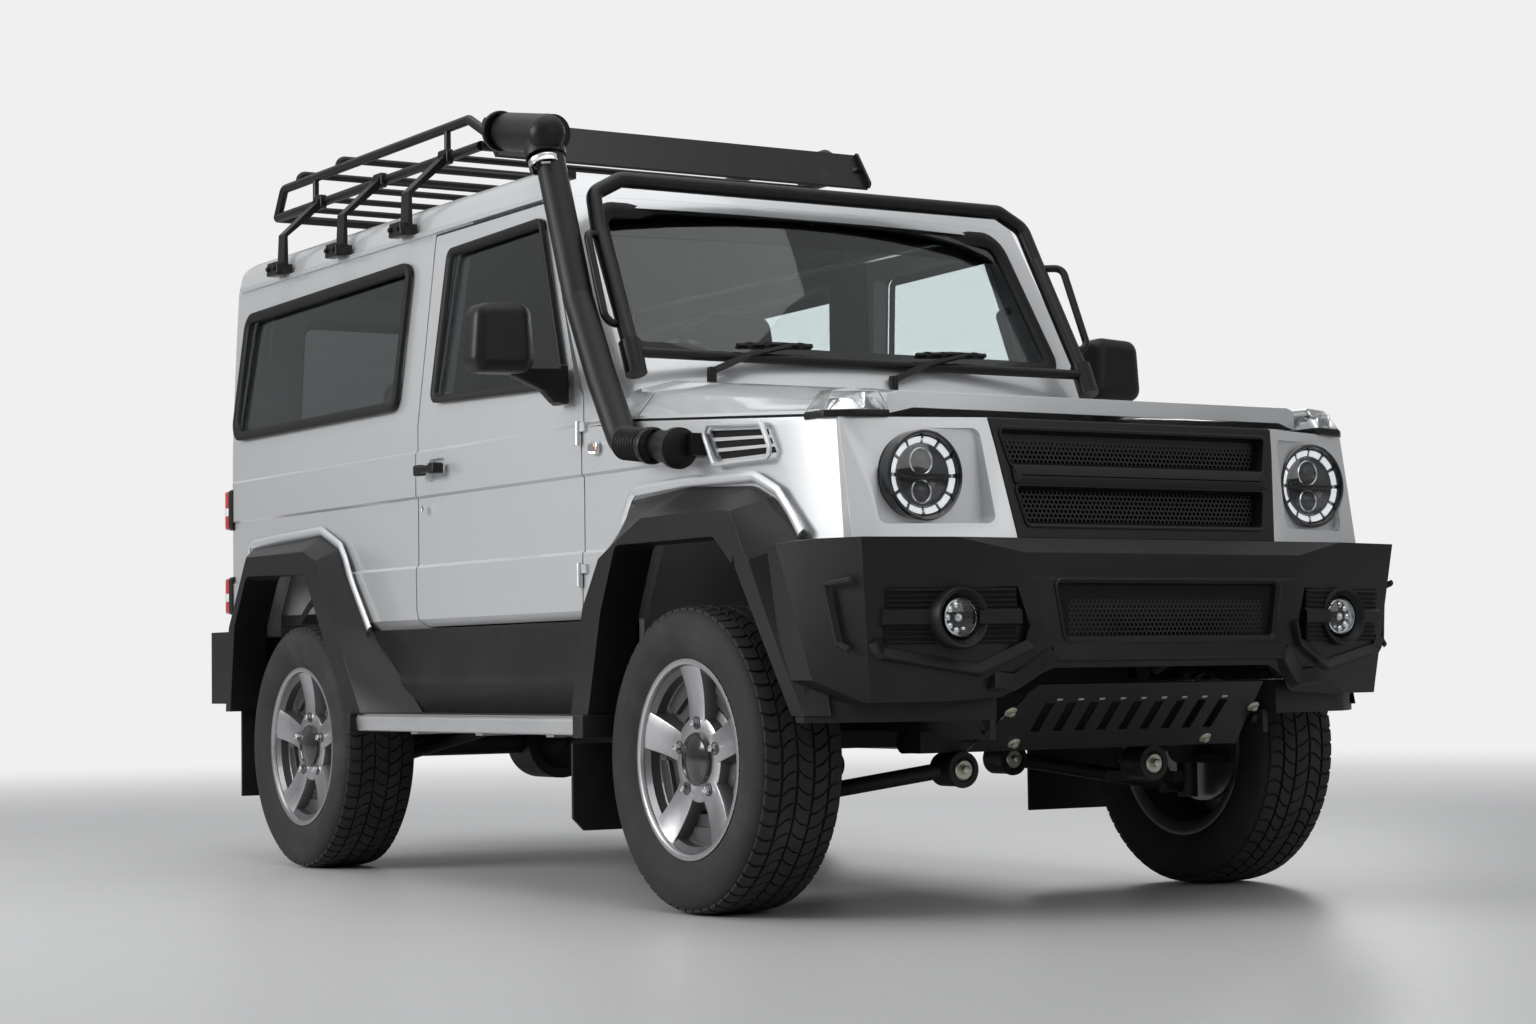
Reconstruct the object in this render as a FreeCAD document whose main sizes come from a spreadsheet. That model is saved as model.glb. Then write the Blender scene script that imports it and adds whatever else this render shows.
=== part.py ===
import FreeCAD, Part
import math
import os
import Sketcher
from FreeCAD import Matrix, Placement, Rotation, Vector

# Lifted three-door off-road 4x4, right-hand drive, on a ladder frame.
# Millimetres. The front faces -Y, the vehicle's right side is -X, the ground is z = 0
# and the origin is under the middle of the overall length.

doc = FreeCAD.newDocument("OffRoader")
sheet = doc.addObject("Spreadsheet::Sheet", "Sizes")

# Driving sizes: alias, value, meaning. Stations are measured back from the front axle,
# unless the meaning says that they are measured from the rear axle or the tail.
SIZES = [
    ("wheelbase", 2400, "front axle to rear axle"),
    ("front_overhang", 800, "front axle to the bumper's nose"),
    ("rear_overhang", 800, "rear axle to the rear face of the body"),
    ("spare_reach", 272, "rear face of the body to the back of the spare wheel"),
    ("half_width", 815, "body half width at the doors"),
    ("half_track", 780, "centreline to a tyre's middle"),
    ("tyre_radius", 380, "loaded radius of the tyres"),
    ("tyre_width", 255, "tyre section width"),
    ("rim_radius", 247, "outer radius of the rim's flange"),
    ("rim_barrel", 214, "inner radius of the rim's barrel"),
    ("rim_depth", 212, "rim width along its axle"),
    ("lug_circle", 168, "diameter of the wheel nut circle"),
    ("lug_bore", 11, "radius of the wheel nut holes"),
    ("kingpin_x", 700, "centreline to a front wheel's steering axis"),
    ("sill_z", 735, "underside of doors and side panels"),
    ("belt_z", 1335, "waist, where the glasshouse starts to lean in"),
    ("drip_z", 1908, "drip rail, the joint of side panels and roof"),
    ("drip_in", 47, "drip rail's set in from the doors"),
    ("crown_z", 2046, "top of the roof's crown"),
    ("swage", 8, "depth of the pressed swages along the side"),
    ("wall", 62, "thickness of doors and side walls, skin to trim"),
    ("roof_wall", 38, "thickness of the roof, skin to lining"),
    ("panel_gap", 7, "gap around doors, bonnet and tailgate"),
    ("door_front", 660, "front edge of the doors"),
    ("door_rear", 1690, "rear edge of the doors"),
    ("screen_base", 545, "windscreen's lower corners"),
    ("screen_lean", 0.6, "windscreen's set back per unit of height"),
    ("screen_bow", 62, "windscreen's bulge at the middle"),
    ("screen_edge", 99, "doors to the windscreen's lower corners, across"),
    ("bonnet_front", -585, "front edge of the bonnet"),
    ("bonnet_rear", 434, "rear edge of the bonnet at the middle"),
    ("bonnet_corner", 345, "bonnet's rear corners"),
    ("bonnet_seam_start", -508, "front end of the bonnet's side seam"),
    ("bonnet_seam_front", 1194, "height of the bonnet's side seam at its front"),
    ("bonnet_seam_rear", 1250, "height of the bonnet's side seam at its rear"),
    ("bonnet_front_z", 1256, "crest of the bonnet at its front"),
    ("bonnet_rear_z", 1372, "crest of the bonnet at its rear"),
    ("flare_out", 115, "wheel arch flares' reach beyond the doors"),
    ("arch_z", 918, "top of the wheel arch openings"),
    ("rail_x", 380, "centreline to a frame rail's middle"),
    ("rail_width", 68, "frame rail width"),
    ("rail_low", 440, "underside of the frame rails"),
    ("rail_top", 556, "top of the frame rails"),
    ("floor_z", 600, "underside of the cabin floor"),
    ("floor_wall", 36, "thickness of the cabin floor"),
    ("load_floor_z", 800, "top of the load space floor"),
    ("lamp_z", 1046, "height of the headlamps"),
    ("lamp_x", 601, "centreline to a headlamp's middle"),
    ("lamp_radius", 98, "radius of a headlamp's glass"),
    ("tube_radius", 22, "screen guard tube radius"),
    ("rack_tube", 15, "roof rack tube radius"),
    ("rack_z", 2175, "roof rack's lower tubes"),
    ("rack_half", 640, "half width of the roof rack"),
    ("hoop_z", 2298, "crossbars of the rack's two raised hoops"),
    ("snorkel_radius", 41, "snorkel tube radius"),
    ("tailgate_half", 690, "half width of the tailgate"),
    ("tailgate_low", 790, "lower edge of the tailgate"),
    ("tailgate_high", 1930, "upper edge of the tailgate"),
    ("spare_z", 1175, "height of the spare wheel's middle"),
    ("glass", 6, "glass thickness"),
    ("glass_set", 9, "glass set in from the panel around it"),
    ("bumper_top", 897, "top of the front bumper"),
    ("bumper_low", 472, "underside of the front bumper's lip"),
    ("bumper_wall", 52, "thickness of the front bumper"),
    ("step_z", 486, "top of the side steps"),
    ("step_out", 115, "side steps' reach beyond the doors"),
    ("running", 0.3, "clearance where a turning piece seats"),
    ("eye_radius", 14, "radius of the towing eyes' holes"),
    ("eye_plate", 16, "thickness of the towing eyes"),
    ("rack_radius", 28, "radius of the steering rack's housing"),
    ("ball_offset", 60, "kingpin to the arms' ball joints"),
    ("upright_radius", 28, "radius of the front uprights"),
    ("hinge_radius", 9, "radius of the door and tailgate hinges"),
    ("hinge_half", 32, "length of each hinge half"),
]
for row, (alias, number, meaning) in enumerate(SIZES, start=1):
    sheet.set(f"A{row}", meaning)
    sheet.set(f"B{row}", str(number))
    sheet.setAlias(f"B{row}", alias)
doc.recompute()


class Values:
    # Reads a driving size from the sheet by its alias.
    def __getattr__(self, alias):
        return float(sheet.get(alias))


v = Values()
overall = v.front_overhang + v.wheelbase + v.rear_overhang + v.spare_reach
front_axle = v.front_overhang - overall / 2
rear_axle = front_axle + v.wheelbase
tail = rear_axle + v.rear_overhang
flare_x = v.half_width + v.flare_out
drip_x = v.half_width - v.drip_in
outside = v.half_width + 200
nodes = []


def station(distance):
    # Row y of a place measured back from the front axle.
    return front_axle + distance


# ---------------------------------------------------------------- shape helpers

def corner(plane, level, a, b):
    if plane == "x":
        return Vector(level, a, b)
    if plane == "y":
        return Vector(a, level, b)
    return Vector(a, b, level)


def outline(plane, level, points):
    # Closed wire in the plane x, y or z = level. A third number in a point rounds its corner.
    flat = [corner(plane, level, q[0], q[1]) for q in points]
    starts, ends, arcs = [], [], []
    for i, here in enumerate(flat):
        back = (flat[i - 1] - here).normalize()
        ahead = (flat[(i + 1) % len(flat)] - here).normalize()
        radius = points[i][2] if len(points[i]) > 2 else 0
        if not radius:
            starts.append(here)
            ends.append(here)
            arcs.append(None)
            continue
        half = back.getAngle(ahead) / 2
        reach = radius / math.tan(half)
        middle = here + (back + ahead).normalize() * (radius / math.sin(half) - radius)
        starts.append(here + back * reach)
        ends.append(here + ahead * reach)
        arcs.append(Part.Arc(starts[-1], middle, ends[-1]).toShape())
    edges = []
    for i, arc in enumerate(arcs):
        if arc:
            edges.append(arc)
        after = starts[(i + 1) % len(flat)]
        if (after - ends[i]).Length > 1e-6:
            edges.append(Part.makeLine(ends[i], after))
    return Part.Wire(edges)


def prism(plane, points, low, high, grow=0.0):
    # Straight prism of an outline, from low to high along the plane's normal.
    face = Part.Face(outline(plane, low, points))
    if grow:
        face = face.makeOffset2D(grow)
    return face.extrude(corner(plane, 1, 0, 0) * (high - low))


def skewed(points, low, run):
    # Prism of a plan outline at z = low, extruded along the slanted vector run.
    return Part.Face(outline("z", low, points)).extrude(run)


def loft(wires):
    return Part.makeLoft(wires, True, True)


def box(x, y, z):
    # Box from three (low, high) pairs.
    return Part.makeBox(x[1] - x[0], y[1] - y[0], z[1] - z[0], Vector(x[0], y[0], z[0]))


def rod(start, end, radius):
    start, end = Vector(*start), Vector(*end)
    return Part.makeCylinder(radius, (end - start).Length, start, end - start)


def tube(points, radius, bend):
    # Round bar along straight runs joined by tangent arcs.
    flat = [Vector(*q) for q in points]
    edges, here = [], flat[0]
    for i in range(1, len(flat) - 1):
        back = (flat[i - 1] - flat[i]).normalize()
        ahead = (flat[i + 1] - flat[i]).normalize()
        half = back.getAngle(ahead) / 2
        reach = bend / math.tan(half)
        middle = flat[i] + (back + ahead).normalize() * (bend / math.sin(half) - bend)
        entry, leave = flat[i] + back * reach, flat[i] + ahead * reach
        edges.append(Part.makeLine(here, entry))
        edges.append(Part.Arc(entry, middle, leave).toShape())
        here = leave
    edges.append(Part.makeLine(here, flat[-1]))
    ring = Part.Wire(Part.makeCircle(radius, flat[0], flat[1] - flat[0]))
    return Part.Wire(edges).makePipeShell([ring], True, True)


def mirrored(shape):
    return shape.mirror(Vector(0, 0, 0), Vector(1, 0, 0))


def both(shape):
    # A piece of the left side (+X) and its mirror image on the right.
    return Part.makeCompound([shape, mirrored(shape)])


def hinge(x, y, z, reach_fixed, reach_moving):
    # Stacked hinge halves on a vertical pin: the upper one is fixed, the lower one moves.
    r, tall = v.hinge_radius, v.hinge_half
    fixed = rod((x, y, z), (x, y, z + tall), r).fuse(reach_fixed)
    moving = rod((x, y, z - tall), (x, y, z - v.running), r).fuse(reach_moving)
    return fixed, moving


def keep(label, item):
    # Registers a sub-part: a shape becomes a feature of the document, an object is kept.
    if isinstance(item, Part.Shape):
        feature = doc.addObject("Part::Feature", label + "_feature")
        feature.Shape = item
        item = feature
    item.Label = label
    nodes.append(item)
    return item


# ---------------------------------------------------------------- body forms

def side_section(inset, roof_inset):
    # Cross section of the cabin: swaged sides, leaning glasshouse, crowned roof.
    width, step = v.half_width - inset, (0 if inset else v.swage)
    drip = drip_x - inset
    half = [
        (width - 20, v.sill_z),
        (width, v.sill_z + 27),
        (width, 914),
        (width - step, 914 + v.swage),
        (width - step, 1119),
        (width, 1119 + v.swage),
        (width, 1254),
        (width - step, 1254 + v.swage),
        (width - step, v.belt_z),
        (drip, v.drip_z),
        (drip - 25, v.crown_z - 34 - roof_inset, 68),
    ]
    top = (0, v.crown_z + 8 - roof_inset, 9000)
    if inset:
        half = [(width, v.floor_z - 100)] + half[-3:]
    return half + [top] + [(-q[0],) + q[1:] for q in reversed(half)]


def cabin(inset, roof_inset, front_inset, rear_inset):
    # Solid cabin: the cross section along the body, cut by the side and windscreen outlines.
    back = tail - rear_inset
    front = station(345) + front_inset
    body = prism("y", side_section(inset, roof_inset), front, back)
    foot = v.sill_z if not inset else v.floor_z - 100
    base = station(v.screen_base - v.screen_bow) + front_inset
    head = base + (1935 - 1402) * v.screen_lean
    top = v.crown_z + 6 - roof_inset
    side = [
        (front, foot),
        (front, 1366 - roof_inset),
        (station(441) + front_inset, 1372 - roof_inset),
        (base - 8, 1402 - roof_inset),
        (head - 8, 1925 - roof_inset),
        (station(840) + front_inset, 1966 - roof_inset, 60),
        (station(1320), top, 900),
        (back - 110, top - 16, 200),
        (back, 1985 - roof_inset, 40),
        (back, foot),
    ]
    body = body.common(prism("x", side, -outside, outside))
    return body.common(screen_block(front_inset, 1300)).common(plan_block(inset, rear_inset))


def screen_block(inset, low):
    # Everything behind the bowed, leaning windscreen surface.
    edge, bow = v.half_width + 10, v.screen_bow
    y = station(v.screen_base) + inset + (low - 1415) * v.screen_lean
    front = Part.Arc(Vector(-edge, y + 14, low), Vector(0, y - bow, low), Vector(edge, y + 14, low))
    corners = [Vector(edge, y + 14, low), Vector(edge, tail + 400, low)]
    corners += [Vector(-edge, tail + 400, low), Vector(-edge, y + 14, low)]
    wire = Part.Wire([front.toShape(), Part.makePolygon(corners)])
    rise = 900
    lean = Part.Face(wire).extrude(Vector(0, rise * v.screen_lean, rise))
    below = box((-edge, edge), (front_axle, tail + 400), (400, low))
    return lean.fuse(below)


def plan_block(inset, rear_inset):
    # Plan outline of the cabin with rounded rear corners.
    edge, back = v.half_width - inset, tail - rear_inset
    radius = 70 if not inset else 20
    plan = [(-edge, front_axle), (edge, front_axle), (edge, back, radius), (-edge, back, radius)]
    return prism("z", plan, 400, 2200)


door_outline = [
    (station(v.door_front), v.sill_z + 4),
    (station(v.door_front), v.belt_z + 5, 15),
    (station(v.door_front + 42), v.belt_z + 30),
    (station(v.door_front + 268), v.drip_z - 10),
    (station(v.door_rear - 58), v.drip_z - 10),
    (station(v.door_rear), v.belt_z + 5),
    (station(v.door_rear), v.sill_z + 4, 65),
]
door_window = [
    (station(v.door_front + 80), 1372, 18),
    (station(v.door_front + 272), 1852, 22),
    (station(v.door_rear - 180), 1840, 30),
    (station(v.door_rear - 114), 1398, 30),
]
quarter_window = [
    (station(v.door_rear + 140), 1398, 45),
    (station(v.door_rear + 82), 1838, 45),
    (rear_axle + 670, 1818, 60),
    (rear_axle + 738, 1400, 60),
]
screen_low, screen_high = v.half_width - v.screen_edge, v.half_width - v.screen_edge - 32
screen_outline = [
    (-screen_low, 1452, 50),
    (screen_low, 1452, 50),
    (screen_high, 1880, 60),
    (-screen_high, 1880, 60),
]
tailgate_outline = [
    (-v.tailgate_half, v.tailgate_low, 40),
    (v.tailgate_half, v.tailgate_low, 40),
    (v.tailgate_half, 1400),
    (v.tailgate_half - 35, v.tailgate_high, 60),
    (35 - v.tailgate_half, v.tailgate_high, 60),
    (-v.tailgate_half, 1400),
]
tailgate_window = [
    (-570, 1400, 50),
    (570, 1400, 50),
    (545, 1830, 60),
    (-545, 1830, 60),
]

door_pin = (v.half_width + v.hinge_radius + 1, station(v.door_front) - v.panel_gap / 2)
door_hinge_heights = (857, 1235)
gate_pin = (-v.tailgate_half - v.panel_gap / 2, tail + 10)
gate_hinge_heights = (1000, 1300)
wheel_centre = Vector(-380, station(955), 1397)
wheel_axis = Vector(0, 195, 130).normalize()


def door_hinges():
    # Left door's outside hinges as (fixed halves, moving halves).
    x, y = door_pin
    fixed, moving = [], []
    for z in door_hinge_heights:
        leaf = box((v.half_width - v.swage, x), (y - 34, y), (z + 4, z + v.hinge_half - 4))
        strap = box((v.half_width - v.swage, x), (y, y + 40), (z - v.hinge_half + 4, z - 4))
        halves = hinge(x, y, z, leaf, strap)
        fixed.append(halves[0])
        moving.append(halves[1])
    return fixed, moving


def gate_hinges():
    # Tailgate's hinges on the right rear post as (fixed halves, moving halves).
    x, y = gate_pin
    fixed, moving = [], []
    for z in gate_hinge_heights:
        leaf = box((x - 26, x), (tail, y + 6), (z + 4, z + v.hinge_half - 4))
        strap = box((x, x + 60), (tail, y + 6), (z - v.hinge_half + 4, z - 4))
        halves = hinge(x, y, z, leaf, strap)
        fixed.append(halves[0])
        moving.append(halves[1])
    return fixed, moving


outer_cabin = cabin(0, 0, 0, 0)
inner_cabin = cabin(v.wall, v.roof_wall, 58, v.wall)
shell = outer_cabin.cut(inner_cabin)
left_door_zone = prism("x", door_outline, 500, outside)
left_door_hole = prism("x", door_outline, 500, outside, v.panel_gap)
tailgate_zone = prism("y", tailgate_outline, tail - v.wall, tail + 40)
tailgate_hole = prism("y", tailgate_outline, tail - v.wall - 40, tail + 40, v.panel_gap)


bonnet_pin_z = v.bonnet_rear_z - 10


def bonnet_section(distance, seam_z, crest_z, edge):
    # Clamshell section: flat crown, rolled shoulders and a skirt down to the side seam.
    y = station(distance)
    half = [(edge, seam_z), (edge - 3, seam_z + 8), (edge - 60, crest_z - 42), (edge - 190, crest_z - 8)]
    points = half + [(-x, z) for x, z in reversed(half)]
    return Part.makePolygon([Vector(x, y, z) for x, z in points + points[:1]])


def seam_height(distance):
    # Height of the bonnet's side seam at a station.
    run = v.bonnet_corner - v.bonnet_seam_start
    slope = (v.bonnet_seam_rear - v.bonnet_seam_front) / run
    return v.bonnet_seam_front + (distance - v.bonnet_seam_start) * slope


def bonnet_block(drop, trim, reach=0):
    # Solid below the bonnet's skin, running on past its rear edge by reach.
    grow = 1 + reach / (v.bonnet_rear - v.bonnet_front)
    back = v.bonnet_rear + reach
    crest = v.bonnet_front_z + (v.bonnet_rear_z - v.bonnet_front_z) * grow - drop
    edge = v.half_width - v.swage - trim
    front = bonnet_section(v.bonnet_front, seam_height(v.bonnet_front), v.bonnet_front_z - drop, edge - 12)
    rear = bonnet_section(back, seam_height(back), crest, edge - 12 + 12 * grow)
    return loft([front, rear])


def bonnet_rear_edge(gap):
    # Plan points of the bonnet's rear edge, from the right corner to the left one.
    half = [(300, v.bonnet_rear), (v.half_width - 175, v.bonnet_rear - 39),
            (v.half_width + 85, v.bonnet_corner)]
    left = [(x, station(distance + gap)) for x, distance in half]
    return [(-x, y) for x, y in reversed(left)] + left


def cowl_lid():
    # Pressed panel that carries the bonnet's surface on from its rear edge to the windscreen.
    reach = v.screen_base - v.bonnet_rear
    skin = bonnet_block(0, 0, reach).cut(bonnet_block(22, 22, reach))
    back = station(v.screen_base)
    plan = bonnet_rear_edge(v.panel_gap) + [(v.half_width + 85, back), (-v.half_width - 85, back)]
    return skin.common(prism("z", plan, v.bonnet_seam_rear, 1500)).cut(inner_cabin)


# ---------------------------------------------------------------- body panels

def make_roof():
    zone = box((-outside, outside), (station(500), tail + 10), (v.drip_z, 2200))
    header_zone = prism("y", screen_outline, station(300), station(1000))
    roof = shell.common(zone).cut(header_zone).cut(tailgate_hole)
    rail = box((drip_x - 6, drip_x + 12), (station(930), tail - 40), (v.drip_z, v.drip_z + 14))
    rail = rail.cut(outer_cabin)
    return roof.fuse([rail, mirrored(rail)])


def front_pillar_zone(low):
    # The part of the shell ahead of the doors and below the roof.
    seam = [
        (station(200), low),
        (station(v.door_front) - v.panel_gap, low),
        (station(v.door_front) - v.panel_gap, v.belt_z),
        (station(v.door_front + 300), v.drip_z),
        (station(200), v.drip_z),
    ]
    return prism("x", seam, -outside, outside)


def make_cowl():
    # Scuttle, windscreen pillars and header in one pressing, with the dash bulkhead.
    frame = shell.common(front_pillar_zone(1250))
    doors = left_door_hole.fuse(mirrored(left_door_hole))
    frame = frame.cut(doors).cut(prism("y", screen_outline, station(300), station(1000)))
    bonnet_room = bonnet_block(-30, -20).fuse(
        box((-outside, outside), (station(200), station(v.bonnet_rear) + v.panel_gap), (1500, 1600)))
    ahead = box((-outside, outside), (station(200), station(v.bonnet_rear) + v.panel_gap), (1255, 1500))
    frame = frame.cut(ahead).cut(bonnet_room)
    bulkhead = box((-745, 745), (station(450), station(478)), (v.floor_z + v.floor_wall, 1340))
    pins = []
    y = station(v.bonnet_rear) + v.panel_gap / 2
    for x in (-260, 260):
        pins.append(rod((x - 40, y, bonnet_pin_z), (x + 40, y, bonnet_pin_z), v.panel_gap / 2 - v.running))
        pins.append(box((x - 40, x + 40), (y, y + v.panel_gap / 2 + 1), (bonnet_pin_z - 3, bonnet_pin_z + 2)))
    return frame.fuse([cowl_lid(), bulkhead] + pins)


def make_side_panels():
    # Rear quarter, centre pillar and rear corner post, with the wheel opening and window cut.
    zone = prism("x", [
        (station(v.door_rear - 300), v.sill_z),
        (tail + 10, v.sill_z),
        (tail + 10, v.drip_z),
        (station(v.door_rear - 300), v.drip_z),
    ], 300, outside)
    panel = shell.common(zone).cut(left_door_hole).cut(tailgate_hole)
    panel = panel.cut(prism("x", quarter_window, 300, outside))
    panel = panel.cut(prism("x", arch_opening(rear_axle, rear_opening, 30), 300, outside))
    left = max(panel.Solids, key=lambda s: s.Volume)
    right = mirrored(left).fuse([q.cut(shell) for q in gate_hinges()[0]])
    return Part.makeCompound([left, right])


def make_door(side):
    cup = [(station(v.door_rear - 195), 1164, 16), (station(v.door_rear - 88), 1164, 16),
           (station(v.door_rear - 88), 1230, 16), (station(v.door_rear - 195), 1230, 16)]
    door = shell.common(left_door_zone).cut(prism("x", door_window, 500, outside))
    door = door.cut(prism("x", cup, v.half_width - 16, outside))
    door = max(door.Solids, key=lambda s: s.Volume)
    door = door.fuse([q.cut(outer_cabin) for q in door_hinges()[1]])
    return door if side > 0 else mirrored(door)


def side_glass(outline_points):
    # Glass follows the leaning side, set in from the skin.
    front = prism("y", side_section(v.glass_set, 0), station(400), tail)
    back = prism("y", side_section(v.glass_set + v.glass, 0), station(400), tail)
    return prism("x", outline_points, 500, outside).common(front).cut(back)


def make_windscreen():
    pane = prism("y", screen_outline, station(300), station(1000))
    front, back = screen_block(v.glass_set, 1300), screen_block(v.glass_set + v.glass, 1300)
    return pane.common(front).cut(back)


def make_tailgate():
    gate = shell.common(tailgate_zone).cut(prism("y", tailgate_window, tail - 100, tail + 50))
    gate = max(gate.Solids, key=lambda s: s.Volume)
    return gate.fuse([q.cut(outer_cabin) for q in gate_hinges()[1]])


def make_tailgate_glass():
    low, high = tail - v.glass_set - v.glass, tail - v.glass_set
    return prism("y", tailgate_window, low, high)


def vent_slots():
    # Three slots that lean forwards and follow the bonnet's seam, with louvres left between them.
    slots = []
    for low, high in ((0.06, 0.28), (0.39, 0.61), (0.72, 0.94)):
        rear = [(station(-57 + 51 * share), 1112 + 84 * share) for share in (low, high)]
        front = [(station(-312 + 43 * share), 1112 + 68 * share) for share in (high, low)]
        slots.append(prism("x", rear + front, v.half_width - 30, outside))
    return Part.makeCompound(slots)


def make_fenders():
    # Front wings: swaged side walls from the lamps to the doors, below the bonnet's seam.
    front = station(-560)
    back = station(v.door_front) - v.panel_gap
    outer = prism("y", side_section(0, 0), front, back)
    plan = [
        (v.half_width, back),
        (v.half_width, station(100)),
        (v.half_width - 14, station(-480)),
        (v.half_width - 40, station(-548)),
        (v.half_width - 100, station(-548)),
        (v.half_width - 72, station(-440)),
        (v.half_width - 46, back),
    ]
    side = [
        (front, v.sill_z),
        (back, v.sill_z),
        (back, 1250),
        (station(v.bonnet_corner), v.bonnet_seam_rear - v.panel_gap),
        (front, seam_height(-560) - v.panel_gap),
    ]
    wing = outer.common(prism("z", plan, 600, 1400)).common(prism("x", side, 300, outside))
    wing = wing.cut(prism("x", arch_opening(front_axle, front_opening, 30), 300, outside))
    wing = wing.cut(face_block()).cut(prism("z", bumper_plan(0, 0), 400, v.bumper_top + 1))
    wing = max(wing.cut(vent_slots()).Solids, key=lambda s: s.Volume)
    return both(wing.fuse([q.cut(wing).cut(outer_cabin) for q in door_hinges()[0]]))


def make_bonnet():
    outer = bonnet_block(0, 0)
    inner = bonnet_block(34, 34)
    inner.translate(Vector(0, 0, -6))
    skin = outer.cut(inner)
    plan = bonnet_rear_edge(0) + [
        (outside, station(-430)),
        (v.half_width - 60, station(-505), 60),
        (430, station(-580)),
        (0, station(-590)),
        (-430, station(-580)),
        (60 - v.half_width, station(-505), 60),
        (-outside, station(-430)),
    ]
    skin = skin.common(prism("z", plan, 1100, 1500))
    notch = corner_lamp(v.panel_gap - 1)
    skin = skin.cut(notch).cut(mirrored(notch))
    return max(skin.Solids, key=lambda s: s.Volume)


# ---------------------------------------------------------------- wheel arches

# Outlines of the wheel openings and of the flares' outer faces and roots on the body, as
# (distance behind the axle, height).
front_opening = [(429, 470), (353, 749), (272, v.arch_z, 30), (-212, v.arch_z, 40), (-300, 846), (-482, 470)]
flare_opening = front_opening[:-1] + [(-445, 470)]
rear_opening = [(-458, 470), (-130, v.arch_z, 40), (343, v.arch_z + 7, 40), (445, 768), (486, 470)]
front_face = [(516, 488), (450, 761), (361, 887), (250, 935), (140, 980), (-200, 984), (-290, 975),
              (-367, 855), (-400, 488)]
front_root = [(602, 488), (545, 760), (455, 930), (376, 1041), (79, 1057), (-217, 1042), (-298, 1010),
              (-455, 904), (-545, 488)]
rear_face = [(-552, 488), (-372, 738), (-220, 954), (-127, 986), (342, 988), (495, 762), (524, 488)]
rear_root = [(-746, 488), (-389, 738), (-160, 998), (-20, 1045), (563, 1026), (604, 760), (626, 488)]


def arch_opening(axle, points, grow):
    # Opening for the wheel in a side wall, a little larger than the flare's own.
    middle = sum(q[0] for q in points) / len(points)
    moved = []
    for q in points:
        away = grow if q[0] > middle else -grow
        moved.append((axle + q[0] + away, q[1] + (grow if q[1] > 700 else -100)) + tuple(q[2:]))
    return moved


def flare(axle, root, face, opening):
    x_in, x_out = v.half_width, flare_x
    wires = []
    for x, table in ((x_in, root), (x_out, face)):
        points = [Vector(x, axle + a, b) for a, b in table]
        wires.append(Part.makePolygon(points + points[:1]))
    hole = prism("x", [(axle + q[0],) + tuple(q[1:]) for q in opening], 600, outside)
    lower = [(axle + q[0],) + tuple(q[1:]) for q in opening]
    lower = [q if q[1] > 500 else (q[0], 440) for q in lower]
    hole = hole.fuse(prism("x", lower, 600, outside))
    return loft(wires).cut(hole)


def front_flare():
    # Front flare. Its leading leg draws in towards the ground, in line with the bumper's end.
    leg = [(flare_x, 870), (flare_x - 73, 488), (flare_x - 82, 440), (outside, 440), (outside, 870)]
    taper = prism("y", leg, station(-900), station(-300))
    return flare(front_axle, front_root, front_face, flare_opening).cut(taper)


def make_flares():
    front = front_flare()
    rear = flare(rear_axle, rear_root, rear_face, rear_opening)
    return Part.makeCompound([front, mirrored(front), rear, mirrored(rear)])


def make_sills():
    # Black rocker mouldings between the arches, folded towards the ground.
    x = v.half_width
    section = [(x - 45, v.sill_z - 1), (x, v.sill_z - 1), (x + 4, 708), (x - 2, 611), (x + 10, 572),
               (x - 8, 489), (x - 45, 489)]
    strip = prism("y", section, station(600), rear_axle - 372)
    strip = strip.cut(front_flare())
    strip = strip.cut(flare(rear_axle, rear_root, rear_face, rear_opening))
    strip = strip.cut(prism("x", arch_opening(rear_axle, rear_opening, 30), 300, outside))
    return both(max(strip.Solids, key=lambda s: s.Volume))


def make_steps():
    # Ribbed side steps on two brackets each.
    x, top = v.half_width + v.step_out, v.step_z
    low, high = station(420), rear_axle - 470
    section = [(x - 150, top, 6), (x - 8, top, 6), (x, top - 14, 5), (x - 4, top - 52, 8),
               (x - 150, top - 40)]
    board = prism("y", section, low, high)
    parts = [board]
    for y in (low + 330, (low + high) / 2, high - 330):
        parts.append(box((v.rail_x + v.rail_width / 2, x - 60), (y - 22, y + 22), (top - 60, top - 38)))
    solid = parts[0].fuse(parts[1:])
    return both(solid)


# ---------------------------------------------------------------- round lamps

def lamp_disc(name, radius, depth, across, along, height):
    # Cylinder that looks forwards, with its sizes and place bound to the sheet.
    disc = doc.addObject("Part::Cylinder", name)
    disc.Placement.Rotation = Rotation(Vector(1, 0, 0), -90)
    bound = {"Radius": radius, "Height": depth, "Placement.Base.x": across, "Placement.Base.y": along,
             "Placement.Base.z": height}
    for key, text in bound.items():
        disc.setExpression(key, text)
    return disc


def pair_of(name, item):
    # The left piece with its mirror image on the right.
    image = doc.addObject("Part::Mirroring", name + "Right")
    image.Source = item
    image.Normal = Vector(1, 0, 0)
    group = doc.addObject("Part::Compound", name)
    group.Links = [item, image]
    doc.recompute()
    return group


front_text = ("(Sizes.front_overhang - (Sizes.front_overhang + Sizes.wheelbase + Sizes.rear_overhang"
              " + Sizes.spare_reach) / 2)")
lamp_text = f"{front_text} - 632"


def make_fog_lamps():
    return pair_of("FogLamps", lamp_disc("FogLamp", "46", "68", "586", f"{front_text} - 743", "710"))


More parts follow.
